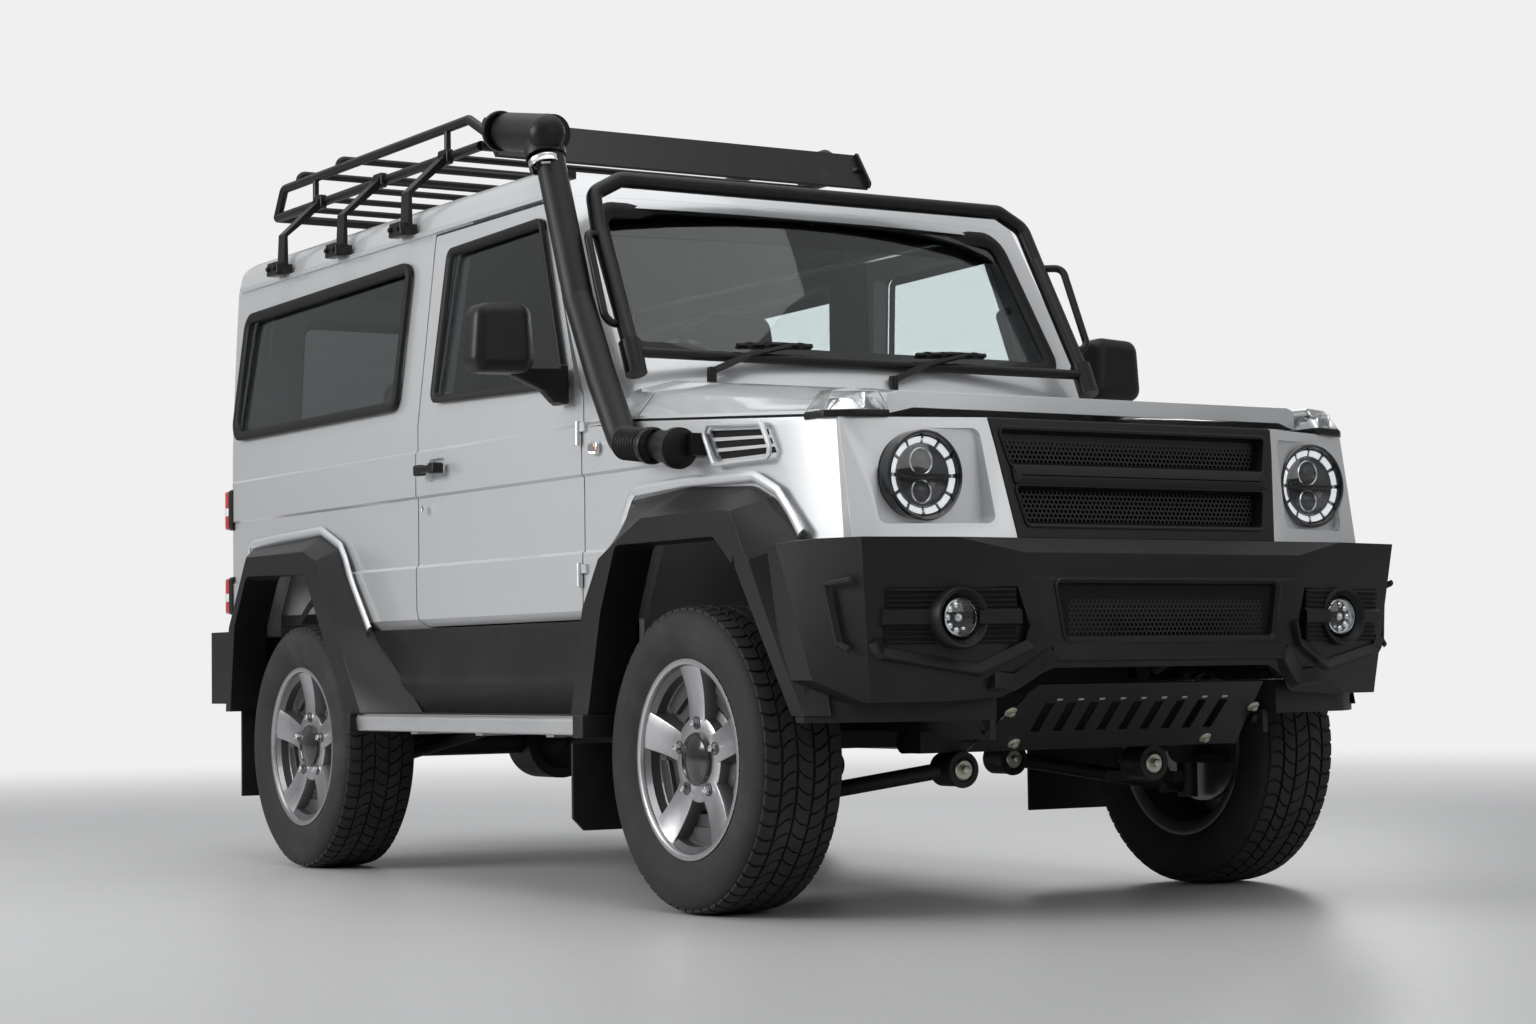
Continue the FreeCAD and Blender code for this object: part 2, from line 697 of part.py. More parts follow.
def make_headlamps():
    # Black bowls with a bezel ring, one behind each glass.
    place = ("Sizes.lamp_x", lamp_text, "Sizes.lamp_z")
    bowl = doc.addObject("Part::Cut", "HeadlampBowl")
    bowl.Base = lamp_disc("BowlOuter", "Sizes.lamp_radius + 7", "90", *place)
    bowl.Tool = lamp_disc("BowlInner", "Sizes.lamp_radius", "60", *place)
    return pair_of("HeadlampBowls", bowl)


def make_headlamp_lenses():
    place = ("Sizes.lamp_x", f"{lamp_text} + 8", "Sizes.lamp_z")
    return pair_of("HeadlampLenses", lamp_disc("HeadlampLens", "Sizes.lamp_radius", "Sizes.glass", *place))


# ---------------------------------------------------------------- front end

def bumper_plan(inset, rise):
    # Plan outline. From rise 0 at the lower edge to 1 at the top, the folded ends stand out further.
    fold, end = v.half_width - 42 + 47 * rise, v.half_width + 44 + 56 * rise
    half = [
        (0, station(-v.front_overhang) + inset),
        (372, station(10 - v.front_overhang) + inset),
        (fold - inset, station(-648 - 42 * rise) + inset),
        (end - inset, station(-577 + 107 * rise) + inset),
        (end - inset, station(-300)),
    ]
    return half + [(-q[0], q[1]) for q in reversed(half[1:])]


def bumper_lip():
    # Lower lip, set back under each end of the bumper as far as the flare.
    side = v.half_width
    front = [(432, station(-668)), (side - 115, station(-618)), (side - 35, station(-560)),
             (side + 40, station(-487)), (side + 40, station(-440))]
    back = [(side, station(-440)), (side - 65, station(-520)), (side - 145, station(-570)),
            (432, station(-600))]
    return prism("z", front + back, v.bumper_low, v.bumper_low + 84)


def make_bumper():
    # Folded shell with a stepped lip under each end, a slot in the middle and lamp recesses.
    low, top, nose = v.bumper_low + 46, v.bumper_top, station(-v.front_overhang)
    body = loft([outline("z", v.bumper_low, bumper_plan(0, 0)), outline("z", top, bumper_plan(0, 1))])
    half = [(330, 592), (405, 560), (436, low + 8), (600, low), (v.half_width - 25, low),
            (v.half_width + 60, low + 55), (outside, low + 90), (outside, top - 29), (flare_x - 60, top)]
    front_view = half + [(-x, z) for x, z in reversed(half)]
    side = [
        (nose + 22, top - 36), (nose + 60, top), (station(-430), top), (station(-430), low),
        (nose + 98, low), (nose + 34, 600), (nose, 655), (nose + 12, top - 98), (nose + 20, top - 92),
    ]
    body = body.common(prism("y", front_view, station(-900), station(-300)))
    body = body.common(prism("x", side, -outside, outside))
    body = body.cut(prism("z", bumper_plan(v.bumper_wall, 0), 400, top - 30))
    lip = bumper_lip()
    body = body.fuse([lip, mirrored(lip)])
    wheel = front_flare()
    opening = prism("x", arch_opening(front_axle, front_opening, 12), -outside, outside)
    body = body.cut(wheel).cut(mirrored(wheel)).cut(opening)
    body = body.cut(prism("y", [(-342, 795), (342, 795), (318, 660), (-318, 660)], nose - 10, nose + 120))
    recess = [(442, 782), (772, 782), (758, 645), (537, 606), (402, 657)]
    fog = prism("y", recess, nose - 20, nose + 44).cut(prism("z", bumper_plan(34, 0.5), 400, 1000))
    body = body.cut(fog).cut(mirrored(fog))
    bars = [box((-345, 345), (nose + 30, nose + 50), (z, z + 14)) for z in (690, 750)]
    body = max(body.Solids, key=lambda s: s.Volume)
    return body.fuse(bars).cut(fog_lamps.Shape)


def face_block():
    # The leaning nose between bumper and bonnet: flat centre, wings swept back to the fenders.
    front, low, high = station(-716), v.bumper_top, v.bonnet_seam_front - 10
    half = [(430, front), (v.half_width - 32, station(-596)), (v.half_width - 40, station(-549)),
            (430, front + 110)]
    plan = [(-q[0], q[1]) for q in reversed(half)] + half
    return skewed(plan, low, Vector(0, (high - low) * 0.18, high - low))


def grille_outline(inset):
    return [(-396 + inset, 890), (396 - inset, 890), (441 - inset, 1190), (-441 + inset, 1190)]


def make_surrounds():
    # Body-coloured lamp surrounds beside the grille, each with a squared recess round its lamp.
    block = face_block().cut(prism("y", grille_outline(0), station(-900), station(-400)))
    ends = [(v.lamp_x, station(distance), v.lamp_z) for distance in (-900, -400)]
    lamp = rod(*ends, v.lamp_radius + 7 + v.running)
    recess = [(448, 932, 20), (v.half_width - 100, 932, 20), (v.half_width - 75, 1158, 20), (462, 1158, 20)]
    floor = [(430, station(-900)), (outside, station(-900)), (outside, station(-560)),
             (v.half_width - 100, station(-590)), (v.lamp_x, station(-612)), (430, station(-650))]
    hollow = prism("y", recess, station(-900), station(-500)).common(prism("z", floor, 880, 1200)).fuse(lamp)
    left = block.cut(hollow)
    return both(max((q for q in left.Solids if q.CenterOfMass.x > 0), key=lambda q: q.Volume))


def make_grille():
    # Black grille: bevelled frame, one broad bar and mesh panels set back above and below it.
    block = face_block().common(prism("y", grille_outline(2), station(-900), station(-400)))
    front = station(-716)
    upper = [(-388, 1073), (388, 1073), (410, 1157), (-410, 1157)]
    lower = [(-362, 932), (362, 932), (382, 1022), (-382, 1022)]
    for opening in (upper, lower):
        block = block.cut(prism("y", opening, front - 50, front + 74))
    return block


def corner_lamp(grow):
    # Turn lamp standing on the front corner of fender and lamp surround, in a notch of the bonnet.
    inner, outer = v.half_width - 172 - grow, v.half_width - 24 + grow
    back, foot, top = station(-430) + grow, v.bonnet_seam_front - 10, v.bonnet_front_z - 2 + grow
    plan = [(inner, station(-592) - grow), (outer - 50, station(-568) - grow), (outer, station(-520) - grow),
            (outer, back), (inner, back)]
    front = [(inner, foot), (outer, foot), (outer - 8, foot + 24), (outer - 26, top), (inner, top)]
    side = [(station(-640), foot), (back, foot), (back, top), (station(-545) - grow, top),
            (station(-610) - grow, foot + 20)]
    block = prism("z", plan, foot, top).common(prism("y", front, station(-700), station(-300)))
    return block.common(prism("x", side, 500, outside))


def make_corner_lamps():
    return both(corner_lamp(0).cut(make_fenders()).cut(face_block()))


def make_bash_plate():
    # Folded skid plate with a row of slanted drain slots, made as a sheet body.
    body = doc.addObject("PartDesign::Body", "BashPlate")
    sketch = polygon_sketch(body, "PlateOutline", "XY_Plane", [
        ("-345", "0"), ("345", "0"), ("419", "250"), ("-419", "250")])
    pad = body.newObject("PartDesign::Pad", "Plate")
    pad.Profile = sketch
    pad.Length = 6
    slot = polygon_sketch(body, "Slot", "XY_Plane", [
        ("-288", "70"), ("-262", "70"), ("-246", "180"), ("-272", "180")])
    pocket = body.newObject("PartDesign::Pocket", "SlotCut")
    pocket.Profile = slot
    pocket.Type = "ThroughAll"
    pocket.Reversed = True
    doc.recompute()
    pattern = body.newObject("PartDesign::LinearPattern", "SlotRow")
    pattern.Originals = [pocket]
    pattern.Direction = (slot, ["H_Axis"])
    pattern.Length = 536
    pattern.Occurrences = 9
    body.Tip = pattern
    tilt = Rotation(Vector(1, 0, 0), -39)
    body.Placement = Placement(Vector(0, station(-722), 552), tilt)
    return body


# ---------------------------------------------------------------- sketch helper

def polygon_sketch(body, name, role, corners):
    # Closed polygon whose corner coordinates are expressions over the sheet.
    sketch = body.newObject("Sketcher::SketchObject", name)
    plane = next(f for f in body.Origin.OriginFeatures if f.Role == role)
    sketch.AttachmentSupport = [(plane, "")]
    sketch.MapMode = "FlatFace"
    numbers = [[float(sheet.evalExpression(text)) for text in pair] for pair in corners]
    points = [Vector(a, b, 0) for a, b in numbers]
    count = len(points)
    for i in range(count):
        sketch.addGeometry(Part.LineSegment(points[i], points[(i + 1) % count]))
    for i in range(count):
        sketch.addConstraint(Sketcher.Constraint("Coincident", i, 2, (i + 1) % count, 1))
    for i, pair in enumerate(corners):
        for kind, text, number in zip(("DistanceX", "DistanceY"), pair, numbers[i]):
            index = sketch.addConstraint(Sketcher.Constraint(kind, i, 1, number))
            if "Sizes" in text:
                sketch.setExpression(f"Constraints[{index}]", text)
    return sketch


def circle_sketch(body, name, role, height, radius):
    # Circle above the origin of its plane, its height and radius bound to the sheet.
    sketch = body.newObject("Sketcher::SketchObject", name)
    plane = next(f for f in body.Origin.OriginFeatures if f.Role == role)
    sketch.AttachmentSupport = [(plane, "")]
    sketch.MapMode = "FlatFace"
    up, size = (float(sheet.evalExpression(text)) for text in (height, radius))
    circle = sketch.addGeometry(Part.Circle(Vector(0, up, 0), Vector(0, 0, 1), size))
    sketch.addConstraint(Sketcher.Constraint("PointOnObject", circle, 3, -2))
    for kind, text, number in (("DistanceY", height, up), ("Radius", radius, size)):
        place = (circle, 3) if kind == "DistanceY" else (circle,)
        index = sketch.addConstraint(Sketcher.Constraint(kind, *place, number))
        sketch.setExpression(f"Constraints[{index}]", text)
    return sketch


def revolved(name, corners):
    # Body revolved about its own X axis from a section in the XZ plane.
    body = doc.addObject("PartDesign::Body", name)
    sketch = polygon_sketch(body, name + "Section", "XZ_Plane", corners)
    turn = body.newObject("PartDesign::Revolution", name + "Turned")
    turn.Profile = sketch
    turn.ReferenceAxis = (sketch, ["H_Axis"])
    turn.Angle = 360
    doc.recompute()
    return body


# ---------------------------------------------------------------- wheels

def make_tyre(name):
    # Section: bead, bulged sidewall, shoulder and flat crown. +X is the outer side.
    half, top, bead = "Sizes.tyre_width / 2", "Sizes.tyre_radius", "Sizes.rim_radius"
    barrel, seat = "Sizes.rim_barrel", "(Sizes.rim_depth / 2 - 10)"
    corners = [
        (f"-{seat}", f"{barrel} + 22"),
        (f"-{seat}", f"{bead} + 3"),
        (f"-{half} + 6", f"{bead} + 28"),
        (f"-{half}", f"{bead} + 72"),
        (f"-{half} + 12", f"{top} - 26"),
        (f"-{half} + 34", f"{top} - 4"),
        ("-60", top),
        ("60", top),
        (f"{half} - 34", f"{top} - 4"),
        (f"{half} - 12", f"{top} - 26"),
        (half, f"{bead} + 72"),
        (f"{half} - 6", f"{bead} + 28"),
        (seat, f"{bead} + 3"),
        (seat, f"{barrel} + 22"),
    ]
    return revolved(name, corners)


def make_rim(name):
    # Rim: flanged barrel with a dished disc, hub boss, five windows and five nut holes.
    half, flange, barrel = "Sizes.rim_depth / 2", "Sizes.rim_radius", "Sizes.rim_barrel"
    corners = [
        (f"-{half}", f"{barrel} + 14"),
        (f"-{half}", f"{flange} - 6"),
        (f"-{half} + 10", f"{flange} - 6"),
        (f"-{half} + 10", f"{barrel} + 22"),
        (f"{half} - 10", f"{barrel} + 22"),
        (f"{half} - 10", flange),
        (half, flange),
        (half, f"{barrel} + 10"),
        (f"{half} - 14", f"{barrel} - 6"),
        (f"{half} - 34", "Sizes.lug_circle / 2 + 24"),
        (f"{half} - 28", "Sizes.lug_circle / 2 + 18"),
        (f"{half} - 28", "68"),
        (f"{half} - 16", "60"),
        (f"{half} - 16", "0"),
        (f"{half} - 74", "0"),
        (f"{half} - 74", "76"),
        (f"{half} - 44", f"{barrel} - 10"),
        (f"{half} - 44", barrel),
        (f"-{half} + 6", f"{barrel} + 6"),
    ]
    body = revolved(name, corners)
    window = polygon_sketch(body, name + "Window", "YZ_Plane", [
        ("-30", "-Sizes.lug_circle / 2 - 30"), ("30", "-Sizes.lug_circle / 2 - 30"),
        ("62", "22 - Sizes.rim_barrel"), ("-62", "22 - Sizes.rim_barrel")])
    bore = circle_sketch(body, name + "Nut", "YZ_Plane", "Sizes.lug_circle / 2", "Sizes.lug_bore")
    cuts = []
    for sketch in (window, bore):
        cut = body.newObject("PartDesign::Pocket", sketch.Name + "Cut")
        cut.Profile = sketch
        cut.Type = "ThroughAll"
        cut.Midplane = True
        cuts.append(cut)
        doc.recompute()
    pattern = body.newObject("PartDesign::PolarPattern", name + "Spokes")
    pattern.Originals = cuts
    pattern.Axis = (window, ["N_Axis"])
    pattern.Angle = 360
    pattern.Occurrences = 5
    body.Tip = pattern
    return body


def wheel_place(x, y, z, side):
    turn = Rotation(Vector(0, 0, 1), 0 if side > 0 else 180)
    return Placement(Vector(x, y, z), turn)


def make_wheels():
    corners = [("front_right", -1, front_axle), ("front_left", 1, front_axle),
               ("rear_right", -1, rear_axle), ("rear_left", 1, rear_axle)]
    for name, side, y in corners:
        tyre, rim = make_tyre("Tyre_" + name), make_rim("Rim_" + name)
        for body in (tyre, rim):
            body.Placement = wheel_place(side * v.half_track, y, v.tyre_radius, side)
        keep("tyre_" + name, tyre)
        keep("rim_" + name, rim)
    place = Placement(Vector(0, tail + v.spare_reach - v.tyre_width / 2, v.spare_z),
                      Rotation(Vector(0, 0, 1), 90))
    tyre, rim = make_tyre("Tyre_spare"), make_rim("Rim_spare")
    for body in (tyre, rim):
        body.Placement = place
    keep("spare_tyre", tyre)
    keep("spare_rim", rim)


# ---------------------------------------------------------------- running gear

def towing_eyes():
    # Plates with a hole, welded to the outside of the rails: two in front, one behind.
    x, z, eyes = v.rail_x + v.rail_width / 2, v.rail_low + 12, []
    for side, y, way in ((1, station(-610), 1), (-1, station(-610), 1), (-1, tail + 30, -1)):
        low, high = sorted((y - way * 28, y + way * 200))
        plate = box((x, x + v.eye_plate), (low, high), (z - 28, z + 28))
        plate = plate.cut(rod((x - 5, y, z), (x + v.eye_plate + 5, y, z), v.eye_radius))
        eyes.append(plate if side > 0 else mirrored(plate))
    return eyes


def make_chassis():
    # Ladder frame: two rails, cross members, engine mounts and the towers of the front springs.
    inner, outer = v.rail_x - v.rail_width / 2, v.rail_x + v.rail_width / 2
    front, back = station(-515), tail - 60
    left = box((inner, outer), (front, back), (v.rail_low, v.rail_top))
    pieces = [left, mirrored(left)]
    low, top = v.rail_low, v.rail_top
    members = [
        (station(-485), low, top),
        (station(-250), low + 10, low + 60),
        (station(1080), low, low + 30),
        (rear_axle - 560, top - 56, top - 6),
        (rear_axle + 420, low, low + 30),
        (tail - 90, low, low + 30),
    ]
    for y, bottom, upper in members:
        pieces.append(box((-inner, inner), (y - 30, y + 30), (bottom, upper)))
    for y in (station(-300), station(300)):
        pieces.append(box((-outer, outer), (y - 26, y + 26), (low - 53, low)))
    for side in (1, -1):
        tower = box((v.rail_x - 10, v.rail_x + 105), (station(-60), station(60)), (top - 40, 820))
        tower = tower.cut(rod((470, front_axle, 300), (470, front_axle, 790), 62))
        mount = box((200, inner), (station(-60), station(60)), (500, 540))
        foot = prism("x", [(station(-545), low), (station(-500), low), (station(-500), 400.4),
                           (station(-523.8), 400.4), (station(-545), 417.6)], 300, outer)
        for piece in (tower, mount, foot):
            pieces.append(piece if side > 0 else mirrored(piece))
    return pieces[0].fuse(pieces[1:] + towing_eyes())


def make_front_suspension():
    # Double wishbones with spring struts and the steering rack. The arms' outer ends keep to the
    # wheel's centre and their inner ends to the rails.
    y, z = front_axle, v.tyre_radius
    ball = v.kingpin_x - v.ball_offset
    ball_radius = v.ball_offset - v.upright_radius - v.running
    inner, inner_low, inner_high = v.rail_x - 80, v.rail_low - 95, v.rail_top + 20
    lower = [rod((ball, y, z - 130), (ball, y, z - 90), ball_radius)]
    lower.append(box((505, 585), (y - 120, y + 120), (z - 96, z - 70)))
    for dy in (-300, 300):
        lower.append(rod((inner + 22, y + dy, inner_low), (ball, y + dy * 0.05, z - 108), 20))
        lower.append(rod((inner, y + dy - 40, inner_low), (inner, y + dy + 40, inner_low), 42))
    upper = [rod((ball, y, z + 150), (ball, y, z + 180), ball_radius)]
    for dy in (-120, 120):
        pivot = v.rail_x + 52
        upper.append(rod((pivot, y + dy, inner_high - 4), (ball, y + dy * 0.05, z + 165), 15))
        upper.append(rod((pivot, y + dy - 30, inner_high + 4), (pivot, y + dy + 30, inner_high + 4), 24))
    spring = rod((552, y, z - 120), (462, y, 860), 46)
    spring = spring.common(box((300, 700), (y - 90, y + 90), (z - 70, 790)))
    rack_z = v.rail_low - v.rack_radius
    rack = rod((-v.rail_x, y - 200, rack_z), (v.rail_x, y - 200, rack_z), v.rack_radius)
    pieces = [lower[0].fuse(lower[1:]), upper[0].fuse(upper[1:]), spring]
    return Part.makeCompound(pieces + [mirrored(q) for q in pieces] + [rack])


def hub_face():
    # Distance from the centreline to the inner face of a wheel's disc.
    return v.half_track + v.rim_depth / 2 - 74


def make_knuckle(side):
    # Upright on the kingpin axis with its hub, steering arm and brake caliper.
    x, y, z = v.kingpin_x, front_axle, v.tyre_radius
    upright = rod((x, y, z - 144), (x, y, z + 194), v.upright_radius)
    hub = rod((x - 30, y, z), (hub_face() - v.running, y, z), 52)
    arm = box((x - 20, x + 20), (y - 150, y), (z - 50, z - 28))
    caliper = box((x - 10, v.half_track - 40), (y + 96, y + 158), (z - 20, z + 90))
    bracket = box((x - 10, x + 10), (y, y + 110), (z - 20, z + 20))
    solid = upright.fuse([hub, arm, caliper, bracket])
    return solid if side > 0 else mirrored(solid)


def make_rear_axle():
    # Live axle with its coil springs and trailing links.
    y, z = rear_axle, v.tyre_radius
    end = hub_face() - v.running
    pieces = [
        rod((-end, y, z), (end, y, z), 42),
        rod((0, y - 75, z), (0, y + 80, z), 124),
        Part.makeCone(70, 112, 24, Vector(0, y + 104, z), Vector(0, -1, 0)),
        Part.makeCone(50, 96, 120, Vector(0, y - 190, z), Vector(0, 1, 0)),
    ]
    for side in (1, -1):
        pieces.append(rod((side * 500, y + 10, z + 30), (side * 500, y + 10, v.load_floor_z - 30), 46))
        pieces.append(rod((side * 560, y - 30, z - 40), (side * 440, y - 700, 470), 20))
        pieces.append(box((side * 560 - 24, side * 560 + 24), (y - 40, y + 20), (z - 62, z)))
        bush = v.rail_x + v.rail_width / 2
        pieces.append(rod((side * bush, y - 700, 470), (side * (bush + 50), y - 700, 470), 26))
    return pieces[0].fuse(pieces[1:])


def make_drivetrain():
    # Gearbox, transfer case and the propeller shaft to the rear axle.
    y = station(340)
    gearbox = box((-150, 150), (y, station(760)), (450, v.floor_z - 6))
    transfer = box((-170, 190), (station(760), station(1020)), (440, v.floor_z - 6))
    shaft = rod((0, station(1020), 520), (0, rear_axle - 184, v.tyre_radius + 2), 34)
    return gearbox.fuse([transfer, shaft.cut(make_rear_axle())])


def make_exhaust():
    # Pipe below the cross members, over the axle, with a silencer and two hangers.
    x, low, high = 250, 392, 506
    pipe = tube([(x, station(700), low), (x, rear_axle - 420, low), (x, rear_axle - 190, high),
                 (x, tail - 30, high)], 26, 90)
    silencer = rod((x, station(1300), low), (x, station(1700), low), 74)
    hangers = [
        box((x - 12, x + 12), (station(1070), station(1090)), (low, v.rail_low)),
        box((x - 12, x + 12), (rear_axle + 410, rear_axle + 430), (v.rail_low + 30, high)),
    ]
    return pipe.fuse([silencer] + hangers)


def make_engine():
    engine = doc.addObject("Part::Box", "EngineBlock")
    engine.Length, engine.Width, engine.Height = 520, 640, 520
    for key, text in (("x", "-260"), ("y", f"{front_text} - 300"), ("z", "Sizes.rail_top - 16")):
        engine.setExpression(f"Placement.Base.{key}", text)
    return engine


def make_floor():
    # Cabin floor, rear wheel tubs, rocker boxes and load floor as one tub.
    low, high = v.floor_z, v.floor_z + v.floor_wall
    edge = v.half_width - v.wall
    front, back = station(480), tail - v.wall - 4
    plates = [box((-edge, edge), (front, rear_axle - 560), (low, high))]
    plates.append(box((-edge, edge), (rear_axle - 600, rear_axle - 560), (low, v.load_floor_z)))
    plates.append(box((-540, 540), (rear_axle - 560, back), (v.load_floor_z - 30, v.load_floor_z)))
    for side in (1, -1):
        drum = rod((560, rear_axle, v.tyre_radius), (edge, rear_axle, v.tyre_radius), 520)
        hollow = rod((590, rear_axle, v.tyre_radius), (edge + 100, rear_axle, v.tyre_radius), 496)
        wall = box((540, edge), (rear_axle - 560, back), (v.load_floor_z - 30, v.load_floor_z))
        above = box((500, 900), (rear_axle - 560, back), (v.load_floor_z - 30, 1000))
        tub = drum.common(above).fuse(wall).cut(hollow)
        rocker = box((edge - 90, edge), (front, rear_axle - 560), (low - 80, high))
        for piece in (tub, rocker):
            plates.append(piece if side > 0 else mirrored(piece))
    behind = rear_axle + 330
    mounts = [rod((v.rail_x, behind, v.rail_top), (v.rail_x, behind, v.load_floor_z - 30), 38)]
    for y in (station(620), station(1500)):
        mounts.append(rod((v.rail_x, y, v.rail_top), (v.rail_x, y, v.floor_z), 38))
    return plates[0].fuse(plates[1:] + mounts + [mirrored(q) for q in mounts]).cut(shell)


# ---------------------------------------------------------------- cabin

def make_dashboard():
    edge = v.half_width - v.wall - 8
    section = [(station(478), 1330), (station(860), 1300, 60), (station(900), 1180, 40),
               (station(800), 1000, 30), (station(478), 960)]
    body = prism("x", section, -edge, edge)
    binnacle = prism("x", [(station(800), 1310), (station(890), 1290), (station(890), 1350, 20),
                           (station(800), 1365, 20)], -540, -220)
    column = rod(wheel_centre - wheel_axis * 300, wheel_centre - wheel_axis * (34 + v.running), 34)
    return body.fuse([binnacle, column]).common(inner_cabin).cut(make_cowl())


def make_steering_wheel():
    centre, axis = wheel_centre, wheel_axis
    ring = Part.makeTorus(178, 14, centre, axis)
    hub = Part.makeCylinder(52, 34, centre - axis * 34, axis)
    spokes = []
    for angle in (0, 180, 270):
        spoke = Part.makeBox(178, 26, 14, Vector(0, -13, -20))
        spoke.Placement = Placement(Vector(0, 0, 0), Rotation(Vector(0, 0, 1), angle))
        turn = Rotation(Vector(1, 0, 0), -math.degrees(math.atan2(195, 130)))
        holder = Placement(centre, turn)
        spoke.Placement = holder.multiply(spoke.Placement)
        spokes.append(spoke)
    return ring.fuse([hub] + spokes)


def seat(x, y, width, floor):
    base = prism("x", [(y, floor), (y + 480, floor), (y + 500, floor + 230, 40), (y, floor + 270, 60)],
                 x - width / 2, x + width / 2)
    back = prism("x", [(y + 440, floor + 200), (y + 560, floor + 200), (y + 690, floor + 800, 50),
                       (y + 590, floor + 820, 50)], x - width / 2, x + width / 2)
    head = prism("x", [(y + 610, floor + 790), (y + 690, floor + 790), (y + 720, floor + 980, 30),
                       (y + 640, floor + 990, 30)], x - 125, x + 125)
    return base.fuse([back, head])


def make_seats():
    floor = v.floor_z + v.floor_wall
    fronts = [seat(x, station(1120), 500, floor + 120) for x in (-370, 370)]
    pedestals = [box((x - 200, x + 200), (station(1150), station(1560)), (floor, floor + 120))
                 for x in (-370, 370)]
    fronts = [a.fuse(b) for a, b in zip(fronts, pedestals)]
    rear = seat(0, rear_axle - 520, 1060, v.load_floor_z)
    return Part.makeCompound(fronts + [rear])


# ---------------------------------------------------------------- outside fittings

def make_roof_rack():
    edge, z, thick = v.rack_half, v.rack_z, v.rack_tube
    front, back = station(1590), tail - 40
    parts = []
    for x in (-edge, edge):
        parts.append(rod((x, front, z), (x, back, z), thick))
        side_run = [(x, front - 104, z), (x, front + 80, z + 92), (x, back - 60, z + 92), (x, back, z)]
        parts.append(tube(side_run, thick, 30))
        for y in (front + 230, back - 330):
            parts.append(rod((x, y, z), (x, y, z + 92), thick * 0.7))
    for y in (front, back):
        parts.append(rod((-edge, y, z), (edge, y, z), thick))
    count = 7
    for i in range(1, count):
        y = front + (back - front) * i / count
        parts.append(rod((-edge, y, z), (edge, y, z), thick * 0.7))
    rack = parts[0].fuse(parts[1:])
    clamp, bend = v.drip_z + 14, v.drip_z + 140
    strap = [(drip_x + 8, clamp), (drip_x + 26, clamp), (drip_x + 20, bend + 8), (edge + 18, z + 8),
             (edge, z + 8), (edge, z - 8), (drip_x + 10, bend)]
    legs = []
    for y in (station(1810), station(2290), station(2770)):
        foot = box((drip_x, drip_x + 30), (y - 42, y + 42), (clamp, clamp + 32))
        piece = foot.fuse(prism("y", strap, y - 27, y + 27))
        legs += [piece, mirrored(piece)]
    deflector = prism("x", [(station(1454), 2125), (station(1460), 2119), (station(1535), 2236),
                            (station(1527), 2242)], -edge - 20, edge + 20)
    return rack.fuse(legs + [deflector]).cut(outer_cabin)


def make_rack_hoops():
    # Two raised hoops that stand on the rack's lower side tubes.
    edge, hoops = v.rack_half, []
    for y in (station(2640), station(2970)):
        path = [(-edge, y, v.rack_z), (-edge, y, v.hoop_z), (edge, y, v.hoop_z), (edge, y, v.rack_z)]
        hoop = tube(path, v.rack_tube * 0.8, 22).cut(make_roof_rack())
        hoops.append(max(hoop.Solids, key=lambda s: s.Volume))
    return Part.makeCompound(hoops)


def make_snorkel():
    # Raised air intake: flange on the right fender, elbow, pillar tube and ram head.
    x = v.half_width + v.snorkel_radius + 2
    high_x = drip_x + v.snorkel_radius + 22
    path = [(-x, station(40), 1150), (-x, station(345), 1186), (-x + 6, station(470), 1362),
            (-high_x - 12, station(612), 1590), (-high_x, station(795), 2010)]
    pipe = tube(path, v.snorkel_radius, 60)
    flange = box((-x, -v.half_width), (station(0), station(150)), (1130, 1186))
    head = rod((-high_x, station(770), 2060), (-high_x, station(1050), 2112), 54)
    neck = rod((-high_x, station(790), 2000), (-high_x, station(812), 2066), 46)
    bracket = box((-high_x, -drip_x + 2), (station(760), station(800)), (1940, 1962))
    return pipe.fuse([flange, head, neck, bracket])


def make_screen_guard():
    # Bull-bar style hoop in front of the windscreen with grab handles at its sides.
    r = v.tube_radius
    y0, z0 = station(470), 1406
    x = v.half_width
    half = [(x - 175, station(742), 1945), (x - 89, station(738), 1900), (x - 77, station(690), 1795),
            (x - 63, y0, z0)]
    parts = [tube([(-a, b, c) for a, b, c in reversed(half)] + half, r, 40)]
    parts.append(rod((70 - x, station(484), 1440), (x - 70, station(484), 1440), 14))
    for side in (1, -1):
        grab = tube([(side * (x - 74), station(680), 1775), (side * (x - 15), station(640), 1775),
                     (side * (x - 9), station(530), 1520), (side * (x - 65), station(545), 1520)], 11, 30)
        parts.append(grab)
        parts.append(rod((side * (x - 63), y0 - 6, z0 - 26), (side * (x - 64), station(502), z0 + 62), 30))
    return parts[0].fuse(parts[1:]).cut(outer_cabin).cut(cowl_lid())


def make_wipers():
    arms = []
    for x in (-525, 62):
        foot = rod((x, station(458), 1341), (x, station(458), 1412), 13)
        rise = rod((x, station(458), 1406), (x + 40, station(452), 1464), 6)
        arm = rod((x + 40, station(452), 1464), (x + 330, station(500), 1488), 6)
        wiper = foot.fuse([rise, arm]).cut(cowl_lid()).cut(outer_cabin)
        arms.append(max(wiper.Solids, key=lambda s: s.Volume))
    return Part.makeCompound(arms)


